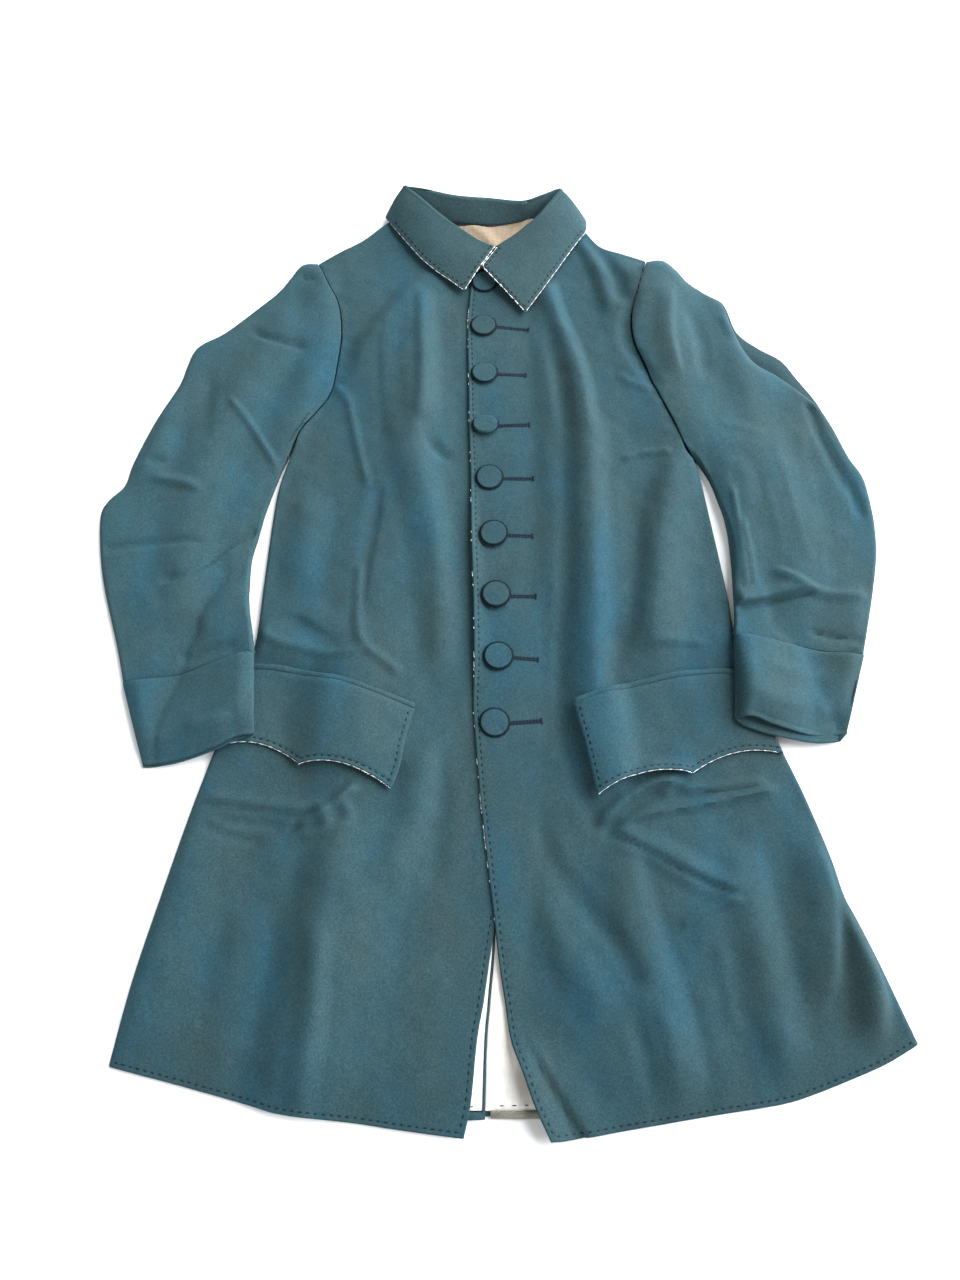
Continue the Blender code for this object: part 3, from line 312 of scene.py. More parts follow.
    sleeve_folds = (
        (3.0, 40, 40, ((240, 300), (290, 160), (320, 60), (310, -50))),
        # head of the sleeve
        (3.2, 7, 24, ((212, 372), (208, 342), (205, 314), (205, 285), (211, 240))),
        (-2.0, 16, 12, ((230, 340), (236, 290), (238, 236))),
        (5.0, 50, 38, ((266, 330), (278, 284), (288, 236), (292, 180))),
        (4.6, 100, 24, ((254, 210), (256, 140), (256, 70), (260, 0), (262, -60))),
        (2.6, 9, 12, ((264, 336), (280, 306), (300, 276), (328, 246))),
        (-4.5, 6, 9, ((350, 222), (358, 180), (370, 140), (384, 107), (392, 74))),
        (1.4, 5, 7, ((256, 110), (260, 50), (262, -8))),
        (1.5, 4, 6, ((264, 74), (267, 40), (270, -4))),
        (0.6, 5, 8, ((244, 188), (272, 182), (304, 170))),
        # creases above the cuff
        (4.4, 17, 5, ((224, -26), (259, -20), (289, -13), (313, -8), (334, -6))),
        (-2.0, 5, 5, ((226, -33), (259, -26), (289, -19), (313, -13), (330, -11))),
        (2.6, 5, 11, ((286, 18), (308, 8), (324, -3), (343, -9), (388, -11))),
        (-2.0, 5, 3.5, ((318, -50), (340, -56), (376, -61))),
        (1.7, 16, 38, ((374, 10), (369, -20), (364, -46), (358, -74))),
        (1.2, 16, 15, ((262, 150), (272, 110), (268, 80))),
        (0.5, 6, 8, ((306, 170), (314, 120), (322, 60), (330, 20))),
        (0.4, 7, 9, ((336, 190), (338, 140), (344, 90))),
        (0.4, 6, 9, ((290, 120), (298, 70), (302, 26))),
    )
    seam_folds = (
        (7.0, 62, 80, ((180, 600), (188, 430), (192, 350), (200, 284), (212, 224), (228, 170),
         (246, 96))),
        (-2.2, 11, 13, ((170, 366), (160, 330), (155, 300), (164, 272), (178, 246), (188, 226))),
    )
    # The curled corner at the foot of the front.
    corner_folds = (
        (8.6, 31, 44, ((12, -402), (20, -428), (36, -472), (50, -506), (68, -560))),
        (3.0, 30, 4, ((32, -410), (41, -432), (54, -454), (67, -475), (83, -500), (104, -532))),
    )


FLAP_FOLDS = (
    (1.9, 64, 54, ((-152, -60), (-142, -110), (-137, -160), (-138, -240))),
    (1.5, 24, 30, ((100, -80), (108, -130), (113, -180), (118, -240))),
)
CUFF_FOLDS = (
    (-2.4, 76, 34, ((-314, -50), (-306, -100), (-303, -150), (-306, -220))),
    (1.4, 10, 10, ((-290, -150), (-266, -146), (-240, -140))),
    (0.7, 12, 12, ((262, -86), (300, -96), (344, -98))),
    (-3.0, 12, 22, ((380, -86), (356, -112), (338, -140), (326, -168))),
    (4.4, 60, 14, ((250, -30), (249, -100), (246, -180))),
    (-3.8, 32, 30, ((334, -40), (320, -120), (312, -180))),
)
LINING_FOLDS = (
    (2.2, 16, 10, ((-34, 470), (-8, 452), (8, 430), (14, 404))),
    (1.6, 14, 9, ((60, 476), (40, 454), (24, 436), (14, 412))),
    (0.8, 8, 10, ((18, -300), (26, -380), (24, -478))),
    (0.6, 10, 8, ((42, -320), (48, -400), (52, -478))),
)
BACK_FOLDS = (
    (1.2, 14, 12, ((-60, 330), (-90, 210), (-80, 110))),
    (1.0, 10, 12, ((-170, 90), (-120, 60), (-70, 66))),
    (1.2, 16, 12, ((-120, -60), (-140, -200), (-180, -340))),
    (1.0, 10, 10, ((-80, -240), (-70, -330), (-90, -420))),
    (1.2, 13, 15, ((80, 300), (110, 170), (100, 60))),
    (1.0, 12, 10, ((70, -20), (130, -40), (200, -30))),
    (1.2, 14, 14, ((150, -90), (170, -240), (220, -380))),
    (1.0, 10, 10, ((80, -200), (96, -310), (90, -400))),
)

HALVES = (Right, Left)
NECK_LIFT = 2.9
NECK_LINING = ((-70, 66), 400)          # x from and to, and the lowest y
SKIRT_LINING_TOP = -300
SKIRT_LINING_REACH = 70
SKIRT_LINING_HEM = -480
VENT_TOP = -322
EDGE_FRAYS = ((312, 330), (-78, -72), (-93, -88), (-226, -212), (-262, -240))   # y from, to

# Collar sections from the right front end round the back to the left front end.
# Columns: neck seam x, y, z; fold x, y, z; leaf edge x, y, z; sideways bow of the leaf.
COLLAR_SECTIONS = (
    (0, 403, 10.0, 9, 417, 17.0, -25, 361, 13.0, 0),
    (-15, 400, 9.6, -8, 426, 18.5, -39, 373, 13.5, 0),
    (-34, 413, 9.4, -32, 442, 21.5, -56, 387, 13.5, 0),
    (-54, 431, 9.2, -54, 459, 24.5, -75, 407, 13.5, 0),
    (-72, 452, 9.0, -77, 482, 26.5, -95, 434, 13.0, 0),
    (-83, 467, 8.0, -91, 495, 27.0, -111, 459, 10.5, 0),
    (-80, 467, 7.0, -94, 499, 26.5, -116, 476, 4.0, 0),
    (-70, 466, 6.9, -80, 496, 26.5, -88, 490, 2.6, 0),
    (-38, 463, 6.9, -38, 484, 26.5, -36, 480, 1.9, 0),
    (4, 460, 6.9, 6, 479, 26.5, 6, 475, 1.9, 0),
    (38, 465, 6.9, 43, 475, 26.5, 43, 478, 1.9, 0),
    (62, 472, 6.9, 66, 485, 27.0, 78, 488, 2.4, 0),
    (74, 470, 7.5, 85, 494, 27.5, 112, 476, 4.0, 0),
    (76, 460, 9.6, 81, 484, 27.5, 116, 449, 11.0, 0),
    (64, 443, 10.6, 64, 459, 27.5, 104, 427, 13.5, 0),
    (47, 426, 10.8, 42, 438, 23.0, 85, 396, 14.2, 0),
    (29, 410, 10.9, 25, 426, 19.5, 65, 364, 13.8, 0),
    (14, 402, 11.0, 11, 417, 17.0, 44, 331, 13.4, -25),
)
COLLAR_FOLD_RADIUS = 2.4
LEAF_STEPS = np.concatenate((np.linspace(0.06, 0.86, 14), (0.9, 0.93, 0.95, 0.97, 0.985, 1)))
LEAF_SWELL = 2.0
BOW_PEAK = 0.2
STAND_COLUMNS = 11      # of a collar section, from the neck seam to the top of the fold

# ---------------------------------------------------------------- curves and grids

def smooth(points, steps=10):
    """A dense polyline on the Catmull-Rom curve through the points."""
    points = np.array(points, float)
    ends = (2 * points[0] - points[1], 2 * points[-1] - points[-2])
    padded = np.vstack((ends[0], points, ends[1]))
    t = np.linspace(0, 1, steps, endpoint=False)[:, None]
    spans = []
    for a, b, c, d in zip(padded, padded[1:], padded[2:], padded[3:]):
        spans.append(0.5 * (2 * b + (c - a) * t + (2 * a - 5 * b + 4 * c - d) * t ** 2
                            + (3 * b - a - 3 * c + d) * t ** 3))
    return np.vstack(spans + [points[-1:]])


def run_along(line):
    """Distance along a polyline at each of its points."""
    return np.append(0, np.cumsum(np.linalg.norm(np.diff(line, axis=0), axis=1)))


def sample(line, run, places):
    """Points of a polyline at some values of a measure that runs along it."""
    return np.stack([np.interp(places, run, line[:, k]) for k in range(line.shape[1])], -1)


def by_length(*curves):
    """Point on the joined curves at a fraction of their length."""
    line = np.vstack([smooth(curve) for curve in curves])
    line = line[np.append(True, np.linalg.norm(np.diff(line, axis=0), axis=1) > 1e-6)]
    run = run_along(line)
    run = run / run[-1]
    return lambda f: sample(line, run, f)


def rising(*curves):
    """The joined curves as one polyline, in order of y."""
    line = np.vstack([smooth(curve) for curve in curves])
    return line[np.argsort(line[:, 1], kind="stable")]


def by_height(*curves, low=None, high=None):
    """Point on the joined curves at a fraction of their rise in y."""
    line = rising(*curves)
    low = line[0, 1] if low is None else low
    high = line[-1, 1] if high is None else high
    return lambda f: sample(line, line[:, 1], low + np.asarray(f) * (high - low))


def between(curve, low, high, cell=2.0):
    """The stretch of a curve between two heights, at even steps."""
    line = rising(curve)
    return sample(line, line[:, 1], np.linspace(low, high, max(2, int(abs(high - low) / cell))))


def unit(vectors):
    """Vectors scaled to a length of 1."""
    return vectors / np.maximum(np.linalg.norm(vectors, axis=-1, keepdims=True), 1e-9)


def offset(line, distance):
    """A polyline moved sideways, to its left when the distance is positive."""
    along = unit(np.gradient(line, axis=0))
    return line + distance * np.stack((-along[:, 1], along[:, 0]), -1)


def patch(bottom, top, left, right, u, v):
    """Coons patch between four edges; bottom and top run from left to right."""
    u, v = np.broadcast_arrays(u, v)
    a, b = u[..., None], v[..., None]
    corner = [edge(np.array(end)) for edge in (bottom, top) for end in (0.0, 1.0)]
    ruled = (1 - b) * bottom(u) + b * top(u) + (1 - a) * left(v) + a * right(v)
    return ruled - ((1 - a) * (1 - b) * corner[0] + a * (1 - b) * corner[1]
                    + (1 - a) * b * corner[2] + a * b * corner[3])


def divisions(length, cell, start=(0.0,), end=(0.0,)):
    """Fractions of a length: set distances from each end and even cells between."""
    inner = length - start[-1] - end[-1]
    count = max(1, round(inner / cell))
    middle = start[-1] + inner * np.arange(1, count) / count
    return np.concatenate((start, middle, length - np.array(end[::-1]))) / length


# The forms are built from these curves of a distance in millimetres.

def ease(x, low, high):
    """Smooth step from 0 at low to 1 at high."""
    t = np.clip((np.asarray(x, float) - low) / (high - low), 0, 1)
    return t * t * (3 - 2 * t)


def bell(x, width):
    """1 at x = 0, falling to 0 a few widths away."""
    return np.exp(-(np.asarray(x, float) / width) ** 2)


def roll_rise(distance, radius=ROLL):
    """Rise of a round edge, 0 at the edge and 1 one radius inside it."""
    t = 1 - np.clip(distance, 0, radius) / radius
    return np.sqrt(np.clip(1 - t * t, 0, 1))


def relief(xy, folds):
    """Height that the folds add at each point of a grid."""
    total = np.zeros(xy.shape[:-1])
    for height, width_after, width_before, line in folds:
        points = smooth(line, 6)
        run = run_along(points)
        nearest = np.full(total.shape, np.inf)
        place, side = np.zeros(total.shape), np.zeros(total.shape)
        for k, (a, b) in enumerate(zip(points, points[1:])):
            along = b - a
            t = np.clip(((xy - a) @ along) / (along @ along), 0, 1)
            off = xy - (a + t[..., None] * along)
            away = np.linalg.norm(off, axis=-1)
            closer = away < nearest
            nearest = np.where(closer, away, nearest)
            place = np.where(closer, run[k] + t * (run[k + 1] - run[k]), place)
            side = np.where(closer, along[0] * off[..., 1] - along[1] * off[..., 0], side)
        width = np.where(side > 0, width_after, width_before)
        taper = min(1.4 * max(width_after, width_before), 0.45 * run[-1])
        ends = ease(place, 0, taper) * ease(run[-1] - place, 0, taper)
        total += height * ends * (0.5 + 0.5 * np.cos(np.pi * np.clip(nearest / width, 0, 1)))
    return FOLD_DEPTH * total


def swell(xy, size, seed):
    """Slow uneven rise and fall of cloth, between about -1 and 1."""
    total = np.zeros(xy.shape[:-1])
    for k in range(7):
        angle = 2.4 * k + 0.9 * seed
        wave = 2 * math.pi / (size * (0.7 + 0.13 * k))
        total += np.sin(wave * (xy[..., 0] * math.cos(angle) + xy[..., 1] * math.sin(angle))
                        + 1.7 * k * seed + 0.5 * k)
    return total / 4.0


def lift(xy, z):
    """Join plan points and heights into a grid of 3-D points."""
    return np.concatenate((xy, np.broadcast_to(z, xy.shape[:-1])[..., None]), -1)


def grid_normals(grid, closed=False):
    """Unit normals of a grid, pointing up where its rows run +X and its columns +Y."""
    across = (np.roll(grid, -1, 1) - np.roll(grid, 1, 1) if closed
              else np.gradient(grid, axis=1))
    return unit(np.cross(across, np.gradient(grid, axis=0)))


def facing_up(grid):
    """The grid with its columns in the order that makes its normals point up."""
    return grid if grid_normals(grid)[..., 2].mean() > 0 else grid[:, ::-1]


# ---------------------------------------------------------------- pieces

SURFACES = {}       # each piece's faces, in the plan, for finding heights on it
EDGES = {}          # each piece's cut edge: the middle of its thickness, all the way round


def new_object(name, data):
    """An object added to the scene."""
    made = bpy.data.objects.new(name, data)
    bpy.context.scene.collection.objects.link(made)
    return made


def piece_from(name, points, faces, finish):
    """A smooth mesh piece that rides with the coat. Its points are in the plan."""
    mesh = bpy.data.meshes.new(name)
    mesh.from_pydata([tuple(point) for point in points * MM + np.array(SHIFT)], [], faces)
    mesh.shade_smooth()
    mesh.set_sharp_from_angle(angle=math.radians(SHARP_ANGLE))
    mesh.materials.append(finish)
    piece = new_object(name, mesh)
    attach(piece, "root")
    return piece


def quads(index, closed=False):
    """Faces between the rows and columns of an array of point numbers."""
    if closed:
        index = np.concatenate((index, index[:, :1]), axis=1)
    corners = (index[:-1, :-1], index[:-1, 1:], index[1:, 1:], index[1:, :-1])
    return np.stack(corners, -1).reshape(-1, 4)


def shell(name, node, grid, thickness, finish, closed=False, floor=0.05):
    """Cloth of one thickness under a grid, with round cut edges, in place of a solid."""
    rows, columns = grid.shape[:2]
    normal = grid_normals(grid, closed)
    inner = grid - thickness * normal
    inner[..., 2] = np.maximum(inner[..., 2], floor)
    index = np.arange(rows * columns).reshape(rows, columns)
    count = rows * columns
    points = [grid.reshape(-1, 3), inner.reshape(-1, 3)]
    faces = [quads(index, closed), quads(index, closed)[:, ::-1] + count]
    if closed:
        loops = [index[0], index[-1][::-1]]
    else:
        loops = [np.concatenate((index[0, :-1], index[:-1, -1], index[-1, :0:-1],
                                 index[:0:-1, 0]))]
    start = 2 * count
    for loop in loops:
        ring = 0.5 * (points[0][loop] + points[1][loop])
        along = np.roll(ring, -1, 0) - np.roll(ring, 1, 0)
        outward = unit(np.cross(along, normal.reshape(-1, 3)[loop]))
        ring = ring + 0.3 * thickness * outward
        ring[:, 2] = np.maximum(ring[:, 2], floor)
        points.append(ring)
        edge = start + np.arange(len(loop))
        faces.append(quads(np.stack((edge, loop)), True))
        faces.append(quads(np.stack((loop + count, edge)), True))
        EDGES[name] = ring
        start += len(loop)
    points = np.vstack(points)
    faces = np.vstack(faces).tolist()
    SURFACES[name] = BVHTree.FromPolygons(points.tolist(), faces)
    piece = piece_from(name, points, faces, finish)
    if node:
        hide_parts(node)
    return piece


def cloth(node, xy, z, finish, thickness=CLOTH, floor=0.05):
    """Woollen cloth in place of a solid, its outer face at a height over the plan."""
    return shell(f"{node}_cloth", node, facing_up(lift(xy, z)), thickness, finish, floor=floor)


def height_on(name, x, y):
    """Top point of a piece over a place in the plan, and its normal, or None."""
    hit, normal, _, _ = SURFACES[name].ray_cast(Vector((x, y, ABOVE_ALL)), Vector((0, 0, -1)))
    return None if hit is None else (hit, normal)


class Ground:
    """Top height of the cloth laid so far, on a square map of the plan."""

    CELL = 3.0
    X_RANGE = (-435, 436)
    Y_RANGE = (-525, 526)

    def __init__(self, names=()):
        self.x = np.arange(*self.X_RANGE, self.CELL)
        self.y = np.arange(*self.Y_RANGE, self.CELL)
        self.top = np.zeros((len(self.y), len(self.x)))
        for name in names:
            self.add(name)

    def add(self, name):
        """Lay one more piece on the map."""
        low, high = EDGES[name].min(axis=0) - self.CELL, EDGES[name].max(axis=0) + self.CELL
        for i in np.flatnonzero((self.y > low[1]) & (self.y < high[1])):
            for j in np.flatnonzero((self.x > low[0]) & (self.x < high[0])):
                found = height_on(name, self.x[j], self.y[i])
                if found:
                    self.top[i, j] = max(self.top[i, j], found[0].z)

    def rest(self, reach, slope, xy):
        """Height at which stiff cloth clears what lies within reach of each point."""
        cells = int(reach / self.CELL)
        rows, columns = self.top.shape
        padded = np.pad(self.top, cells)
        grown = self.top.copy()
        for dy in range(-cells, cells + 1):
            for dx in range(-cells, cells + 1):
                distance = self.CELL * max(0.0, math.hypot(dx, dy) - 1.0)
                if distance <= reach:
                    window = padded[dy + cells:dy + cells + rows,
                                    dx + cells:dx + cells + columns]
                    lowered = np.where(window > 0, window - slope * distance, 0)
                    grown = np.maximum(grown, lowered)
        for _ in range(2):
            around = np.pad(grown, 1, mode="edge")
            grown = (around[:-2, 1:-1] + around[2:, 1:-1] + around[1:-1, :-2]
                     + around[1:-1, 2:] + 2 * grown) / 6
        gx = np.clip((xy[..., 0] - self.x[0]) / self.CELL, 0, columns - 1.001)
        gy = np.clip((xy[..., 1] - self.y[0]) / self.CELL, 0, rows - 1.001)
        ix, iy = gx.astype(int), gy.astype(int)
        fx, fy = gx - ix, gy - iy
        return ((1 - fy) * ((1 - fx) * grown[iy, ix] + fx * grown[iy, ix + 1])
                + fy * ((1 - fx) * grown[iy + 1, ix] + fx * grown[iy + 1, ix + 1]))


# ---------------------------------------------------------------- materials

class Nodes:
    """A material's node tree, with short ways to add to it."""

    def __init__(self, name):
        self.material = bpy.data.materials.new(name)
        self.material.use_nodes = True
        self.tree = self.material.node_tree
        self.shader = self.tree.nodes["Principled BSDF"]
        self.place = self.tree.nodes.new("ShaderNodeTexCoord").outputs["Object"]

    def fill(self, node, inputs):
        """Set each named input to a constant, or link it to another node's output."""
        for socket, value in inputs.items():
            if isinstance(value, bpy.types.NodeSocket):
                self.tree.links.new(value, node.inputs[socket])
            else:
                node.inputs[socket].default_value = value

    def add(self, kind, output, inputs, **settings):
        """One output of a new node."""
        node = self.tree.nodes.new("ShaderNode" + kind)
        for name, value in settings.items():
            setattr(node, name, value)
        self.fill(node, inputs)
        return node.outputs[output]

    def noise(self, scale, detail=3.0, roughness=0.55, stretch=(1, 1, 1)):
        """Noise of that many features a metre, from about 0.25 to 0.75."""
        place = self.add("Mapping", "Vector", {"Scale": stretch, "Vector": self.place})
        return self.add("TexNoise", "Fac", {"Scale": scale, "Detail": detail,
                                            "Roughness": roughness, "Vector": place})

    def along_y(self, low, high):
        """Place along the coat, 0 at the low y and 1 at the high y, in metres."""
        y = self.add("SeparateXYZ", "Y", {"Vector": self.place})
        return self.add("MapRange", "Result", {"From Min": low, "From Max": high, "Value": y})

    def threads(self, pitch, angle):
        """Ribs of a weave, a pitch in millimetres apart, at an angle in the plan."""
        place = self.add("Mapping", "Vector", {"Rotation": (0, 0, math.radians(angle)),
                                               "Vector": self.place})
        scale = 1000.0 / pitch / (2 * math.pi) * 0.314
        return self.add("TexWave", "Fac", {"Scale": scale, "Distortion": 1.2, "Detail": 1.0,
                                           "Detail Scale": 1.5, "Vector": place})

    def ramp(self, value, *stops):
        """A colour or grey for each value; stops are (position, colour)."""
        colour = self.add("ValToRGB", "Color", {"Fac": value})
        elements = colour.node.color_ramp.elements
        while len(elements) < len(stops):
            elements.new(0.5)
        for element, (position, shade) in zip(elements, stops):
            element.position = position
            element.color = (*shade, 1.0)
        return colour

    def colour(self, first, *others):
        """Colour the surface with the product of some colours."""
        for other in others:
            first = self.add("Mix", "Result", {"Factor": 1.0, "A": first, "B": other},
                             data_type="RGBA", blend_type="MULTIPLY")
        self.fill(self.shader, {"Base Color": first})

    def total(self, *weighted):
        """Weighted sum of outputs."""
        total = 0.0
        for value, weight in weighted:
            total = self.add("Math", "Value", {0: value, 1: weight, 2: total},
                             operation="MULTIPLY_ADD")
        return total

    def bump(self, height, millimetres):
        """Raise the surface by a height from 0 to 1."""
        normal = self.add("Bump", "Normal", {"Strength": 1.0, "Distance": millimetres * MM,
                                             "Height": height})
        self.fill(self.shader, {"Normal": normal})

    def surface(self, roughness, sheen, sheen_tint, specular):
        """Set how the surface takes the light, and give the material."""
        self.fill(self.shader, {"Roughness": roughness, "Sheen Weight": sheen,
                                "Sheen Roughness": 0.5, "Sheen Tint": (*sheen_tint, 1.0),
                                "Specular IOR Level": specular})
        return self.material


def tint(colour, factor):
    """A colour made lighter or darker."""
    return tuple(min(1.0, channel * factor) for channel in colour)


WHITE = (1, 1, 1)
WOOL = (0.0290, 0.0700, 0.0830)
WOOL_GREY = (0.0340, 0.0660, 0.0728)
WOOL_BLUE = (0.0222, 0.0755, 0.1055)
# Painted shade: every wool's colour is multiplied by these factors at these heights y, in metres,
# so it grows darker towards the hem.
PAINTED_SHADE_BY_Y = ((-0.50, 0.77), (-0.30, 0.85), (-0.10, 0.89), (0.05, 0.93), (0.40, 0.98))
LINEN_CREAM = (0.44, 0.335, 0.235)
LINEN_WHITE = (0.87, 0.83, 0.78)
THREAD_DARK = (0.005, 0.016, 0.022)
NAVY = (0.005, 0.0115, 0.022)
# Painted shade: the near-black ring round each button's rim, in place of the shadow where the
# cover turns under and meets the cloth.
BUTTON_PAINTED_SHADE = (0.003, 0.0095, 0.0125)
RAW_EDGE = (0.95, 0.99, 0.98)
HEM_TAN = (0.20, 0.19, 0.15)
PAPER = (0.97, 0.97, 0.97, 1)


def wool(name, shade=1.0, dyes=(WOOL_GREY, WOOL, WOOL_BLUE)):
    """Fulled broadcloth: uneven dye, a short felted nap, and painted shade that darkens it towards
    the hem.
    """
    nodes = Nodes(name)
    grey, plain, blue = (tint(dye, shade) for dye in dyes)
    clouds = nodes.ramp(nodes.noise(9, 4.0, 0.6, (1.5, 0.75, 1.0)), (0.34, grey),
                        (0.52, plain), (0.70, blue))
    streaks = nodes.ramp(nodes.noise(60, 4.0, 0.65, (1.0, 0.7, 1.0)),
                         (0.30, (0.89, 0.92, 0.93)), (0.72, (1.10, 1.07, 1.05)))
    nap = nodes.ramp(nodes.noise(560, 4.0, 0.75), (0.30, (0.58, 0.63, 0.66)),
                     (0.52, (0.98, 0.98, 0.98)), (0.74, (1.50, 1.42, 1.36)))
    # Painted shade: the colour darkens towards the hem.
    hem_painted_shade = nodes.ramp(nodes.along_y(-0.5, 0.5), *((y + 0.5, (k, k, k)) for y, k in PAINTED_SHADE_BY_Y))
    nodes.colour(clouds, streaks, nap, hem_painted_shade)
    nodes.bump(nodes.total((nodes.noise(620, 3.0, 0.65), 0.6), (nodes.noise(1900, 2.0), 0.35),
                           (nodes.noise(150, 2.0), 0.5), (nodes.threads(1.1, 52), 0.10)), 0.34)
    return nodes.surface(0.80, 0.04, (0.50, 0.84, 1.0), 0.10)


def wool_like(name, colour):
    """Undyed woollen facing, coarser than the broadcloth."""
    nodes = Nodes(name)
    nodes.colour(nodes.ramp(nodes.noise(900, 3.0, 0.7), (0.3, tint(colour, 0.6)),
                            (0.7, tint(colour, 1.5))))
    nodes.bump(nodes.threads(1.4, 48), 0.3)
    return nodes.surface(0.9, 0.2, WHITE, 0.2)


def linen(name, dye):
    """Plain-woven linen: crossed threads of uneven thickness."""
    nodes = Nodes(name)
    clouds = nodes.ramp(nodes.noise(26, 3.0), (0.32, tint(dye, 0.80)), (0.66, tint(dye, 1.12)))
    slubs = nodes.ramp(nodes.noise(340, 2.0, 0.6, (1.0, 0.12, 1.0)),
                       (0.30, (0.90, 0.89, 0.87)), (0.70, (1.05, 1.05, 1.05)))
    nodes.colour(clouds, slubs)
    nodes.bump(nodes.total((nodes.threads(0.9, 0), 0.5), (nodes.threads(0.9, 90), 0.5),
                           (nodes.noise(400, 2.0), 0.5)), 0.16)
    return nodes.surface(0.85, 0.15, (1.0, 0.96, 0.9), 0.25)


def thread(name, colour, roughness=0.6):
    """Twisted sewing thread."""
    nodes = Nodes(name)
    nodes.colour(nodes.ramp(nodes.noise(1500, 2.0), (0.3, tint(colour, 0.7)),
                            (0.7, tint(colour, 1.4))))
    nodes.bump(nodes.threads(0.45, 35), 0.1)
    return nodes.surface(roughness, 0.0, WHITE, 0.15)


# ---------------------------------------------------------------- sewing

def tube_faces(rings, sides):
    """Faces of a tube with closed ends, of some rings of points."""
    index = np.arange(rings * sides).reshape(rings, sides)
    return quads(index, True).tolist() + [index[0][::-1].tolist(), index[-1].tolist()]


def bead(centre, along, up, size):
    """Points and faces of a small flattened bead, the shape of one stitch."""
    side = np.cross(up, along)
    points = []
    for place, girth in ((-0.5, 0.35), (-0.28, 0.9), (0.0, 1.0), (0.28, 0.9), (0.5, 0.35)):
        for turn in range(6):
            angle = math.pi * turn / 3
            points.append(centre + place * size[0] * along
                          + 0.5 * girth * size[1] * math.cos(angle) * side
                          + 0.5 * girth * size[2] * math.sin(angle) * up)
    return points, tube_faces(5, 6)


def strand(path, radius, fray, sides=6):
    """Points and faces of a thin uneven strand along a 3-D path."""
    path = np.array(path)
    k = np.arange(len(path))
    path[:, :2] += 0.3 * np.sin(2.6 * k)[:, None]
    along = unit(np.gradient(path, axis=0))
    side = unit(np.cross((0, 0, 1.0), along))
    up = np.cross(along, side)
    girth = radius * np.clip(1 + fray * (np.sin(1.9 * k) * np.sin(0.37 * k + 1.0)
                                         + 0.9 * np.sin(0.83 * k + 0.4)), 0.1, 2.0)
    girth[0] = girth[-1] = 0.3 * radius
    turn = 2 * math.pi * np.arange(sides) / sides
    points = (path[:, None] + girth[:, None, None]
              * (np.cos(turn)[None, :, None] * side[:, None]
                 + np.sin(turn)[None, :, None] * up[:, None]))
    return points.reshape(-1, 3), tube_faces(len(path), sides)


class Heap:
    """Points and faces of many small forms that make one piece."""

    def __init__(self):
        self.points, self.faces = [], []

    def add(self, points, faces):
        """Put in one more form."""
        self.faces += [[len(self.points) + n for n in face] for face in faces]
        self.points += list(points)

    def stitch(self, surface, at, direction, size, raised=0.1):
        """Put in one stitch, sunk a little into a piece that isn't too steep there."""
        found = height_on(surface, at[0], at[1])
        if found is None or found[1].z < STEEPEST:
            return
        up = np.array(found[1])
        along = np.array((*direction, 0.0))
        along = unit(along - (along @ up) * up)
        self.add(*bead(np.array(found[0]) + raised * up, along, up, size))

    def piece(self, name, finish, slot="wool"):
        """The piece made of all that was put in."""
        return piece_from(name, np.array(self.points), self.faces, finish)


def stitches(name, surface, lines, finish, size=STITCH_SIZE, step=STITCH_STEP, margin=3.0):
    """Prick stitches an even step apart along lines in the plan."""
    heap = Heap()
    for line in map(np.array, lines):
        run = run_along(line)
        length = run[-1] - margin - margin
        count = max(1, int(length / step))
        places = margin + (np.arange(count) + 0.5) * length / count
        ways = unit(sample(line, run, places + 0.5) - sample(line, run, places - 0.5))
        for k, (at, direction) in enumerate(zip(sample(line, run, places), ways)):
            long = size[0] * (1 + 0.16 * math.sin(2.3 * k))
            heap.stitch(surface, at, direction, (long, size[1], size[2]))
    return heap.piece(name, finish)


def buttonhole(number, start, end, finish):
    """A worked buttonhole: two rows of close stitches along a slit, and a bar."""
    start, end = np.array(start, float), np.array(end, float)
    length = np.linalg.norm(end - start)
    along = (end - start) / length
    across = np.array((-along[1], along[0]))
    heap, on, raised = Heap(), "front_left_cloth", 0.12
    count = int(length / 0.85)
    for k in range(count):
        at = start + along * (k + 0.5) * length / count
        wander = 0.25 * math.sin(1.7 * k + number)
        for side in (-1, 1):
            reach = 1.8 + 0.3 * math.sin(2.9 * k + side)
            heap.stitch(on, at + across * side * (0.5 * reach + 0.1) + along * wander, across,
                        (reach + 0.5, 0.95, 0.8), raised)
    for k in range(-3, 4):
        heap.stitch(on, end + across * k * 0.9, along, (2.4, 1.0, 0.95), raised)
    return heap.piece(f"buttonhole_{number}", finish, "button_cloth")


def raw_edge(name, rims, lifted, radius, finish, fray=0.6):
    """The pale raw edge of the interlining, one strand along each stretch of a rim."""
    heap = Heap()
    for rim in rims:
        heap.add(*strand(rim + (0, 0, lifted), radius, fray))
    return heap.piece(name, finish, "linen")


def rim_between(name, start, end):
    """A piece's cut edge from near one place to near another, the shorter way round."""
    ring = EDGES[name]
    a, b = (int(np.argmin(np.hypot(ring[:, 0] - x, ring[:, 1] - y))) for x, y in (start, end))
    count = len(ring)
    ahead = (b - a) % count
    step = 1 if ahead <= count - ahead else -1
    line = ring[(a + step * np.arange(min(ahead, count - ahead) + 1)) % count]
    run = run_along(line)
    return sample(line, run, np.arange(0, run[-1], RIM_STEP))


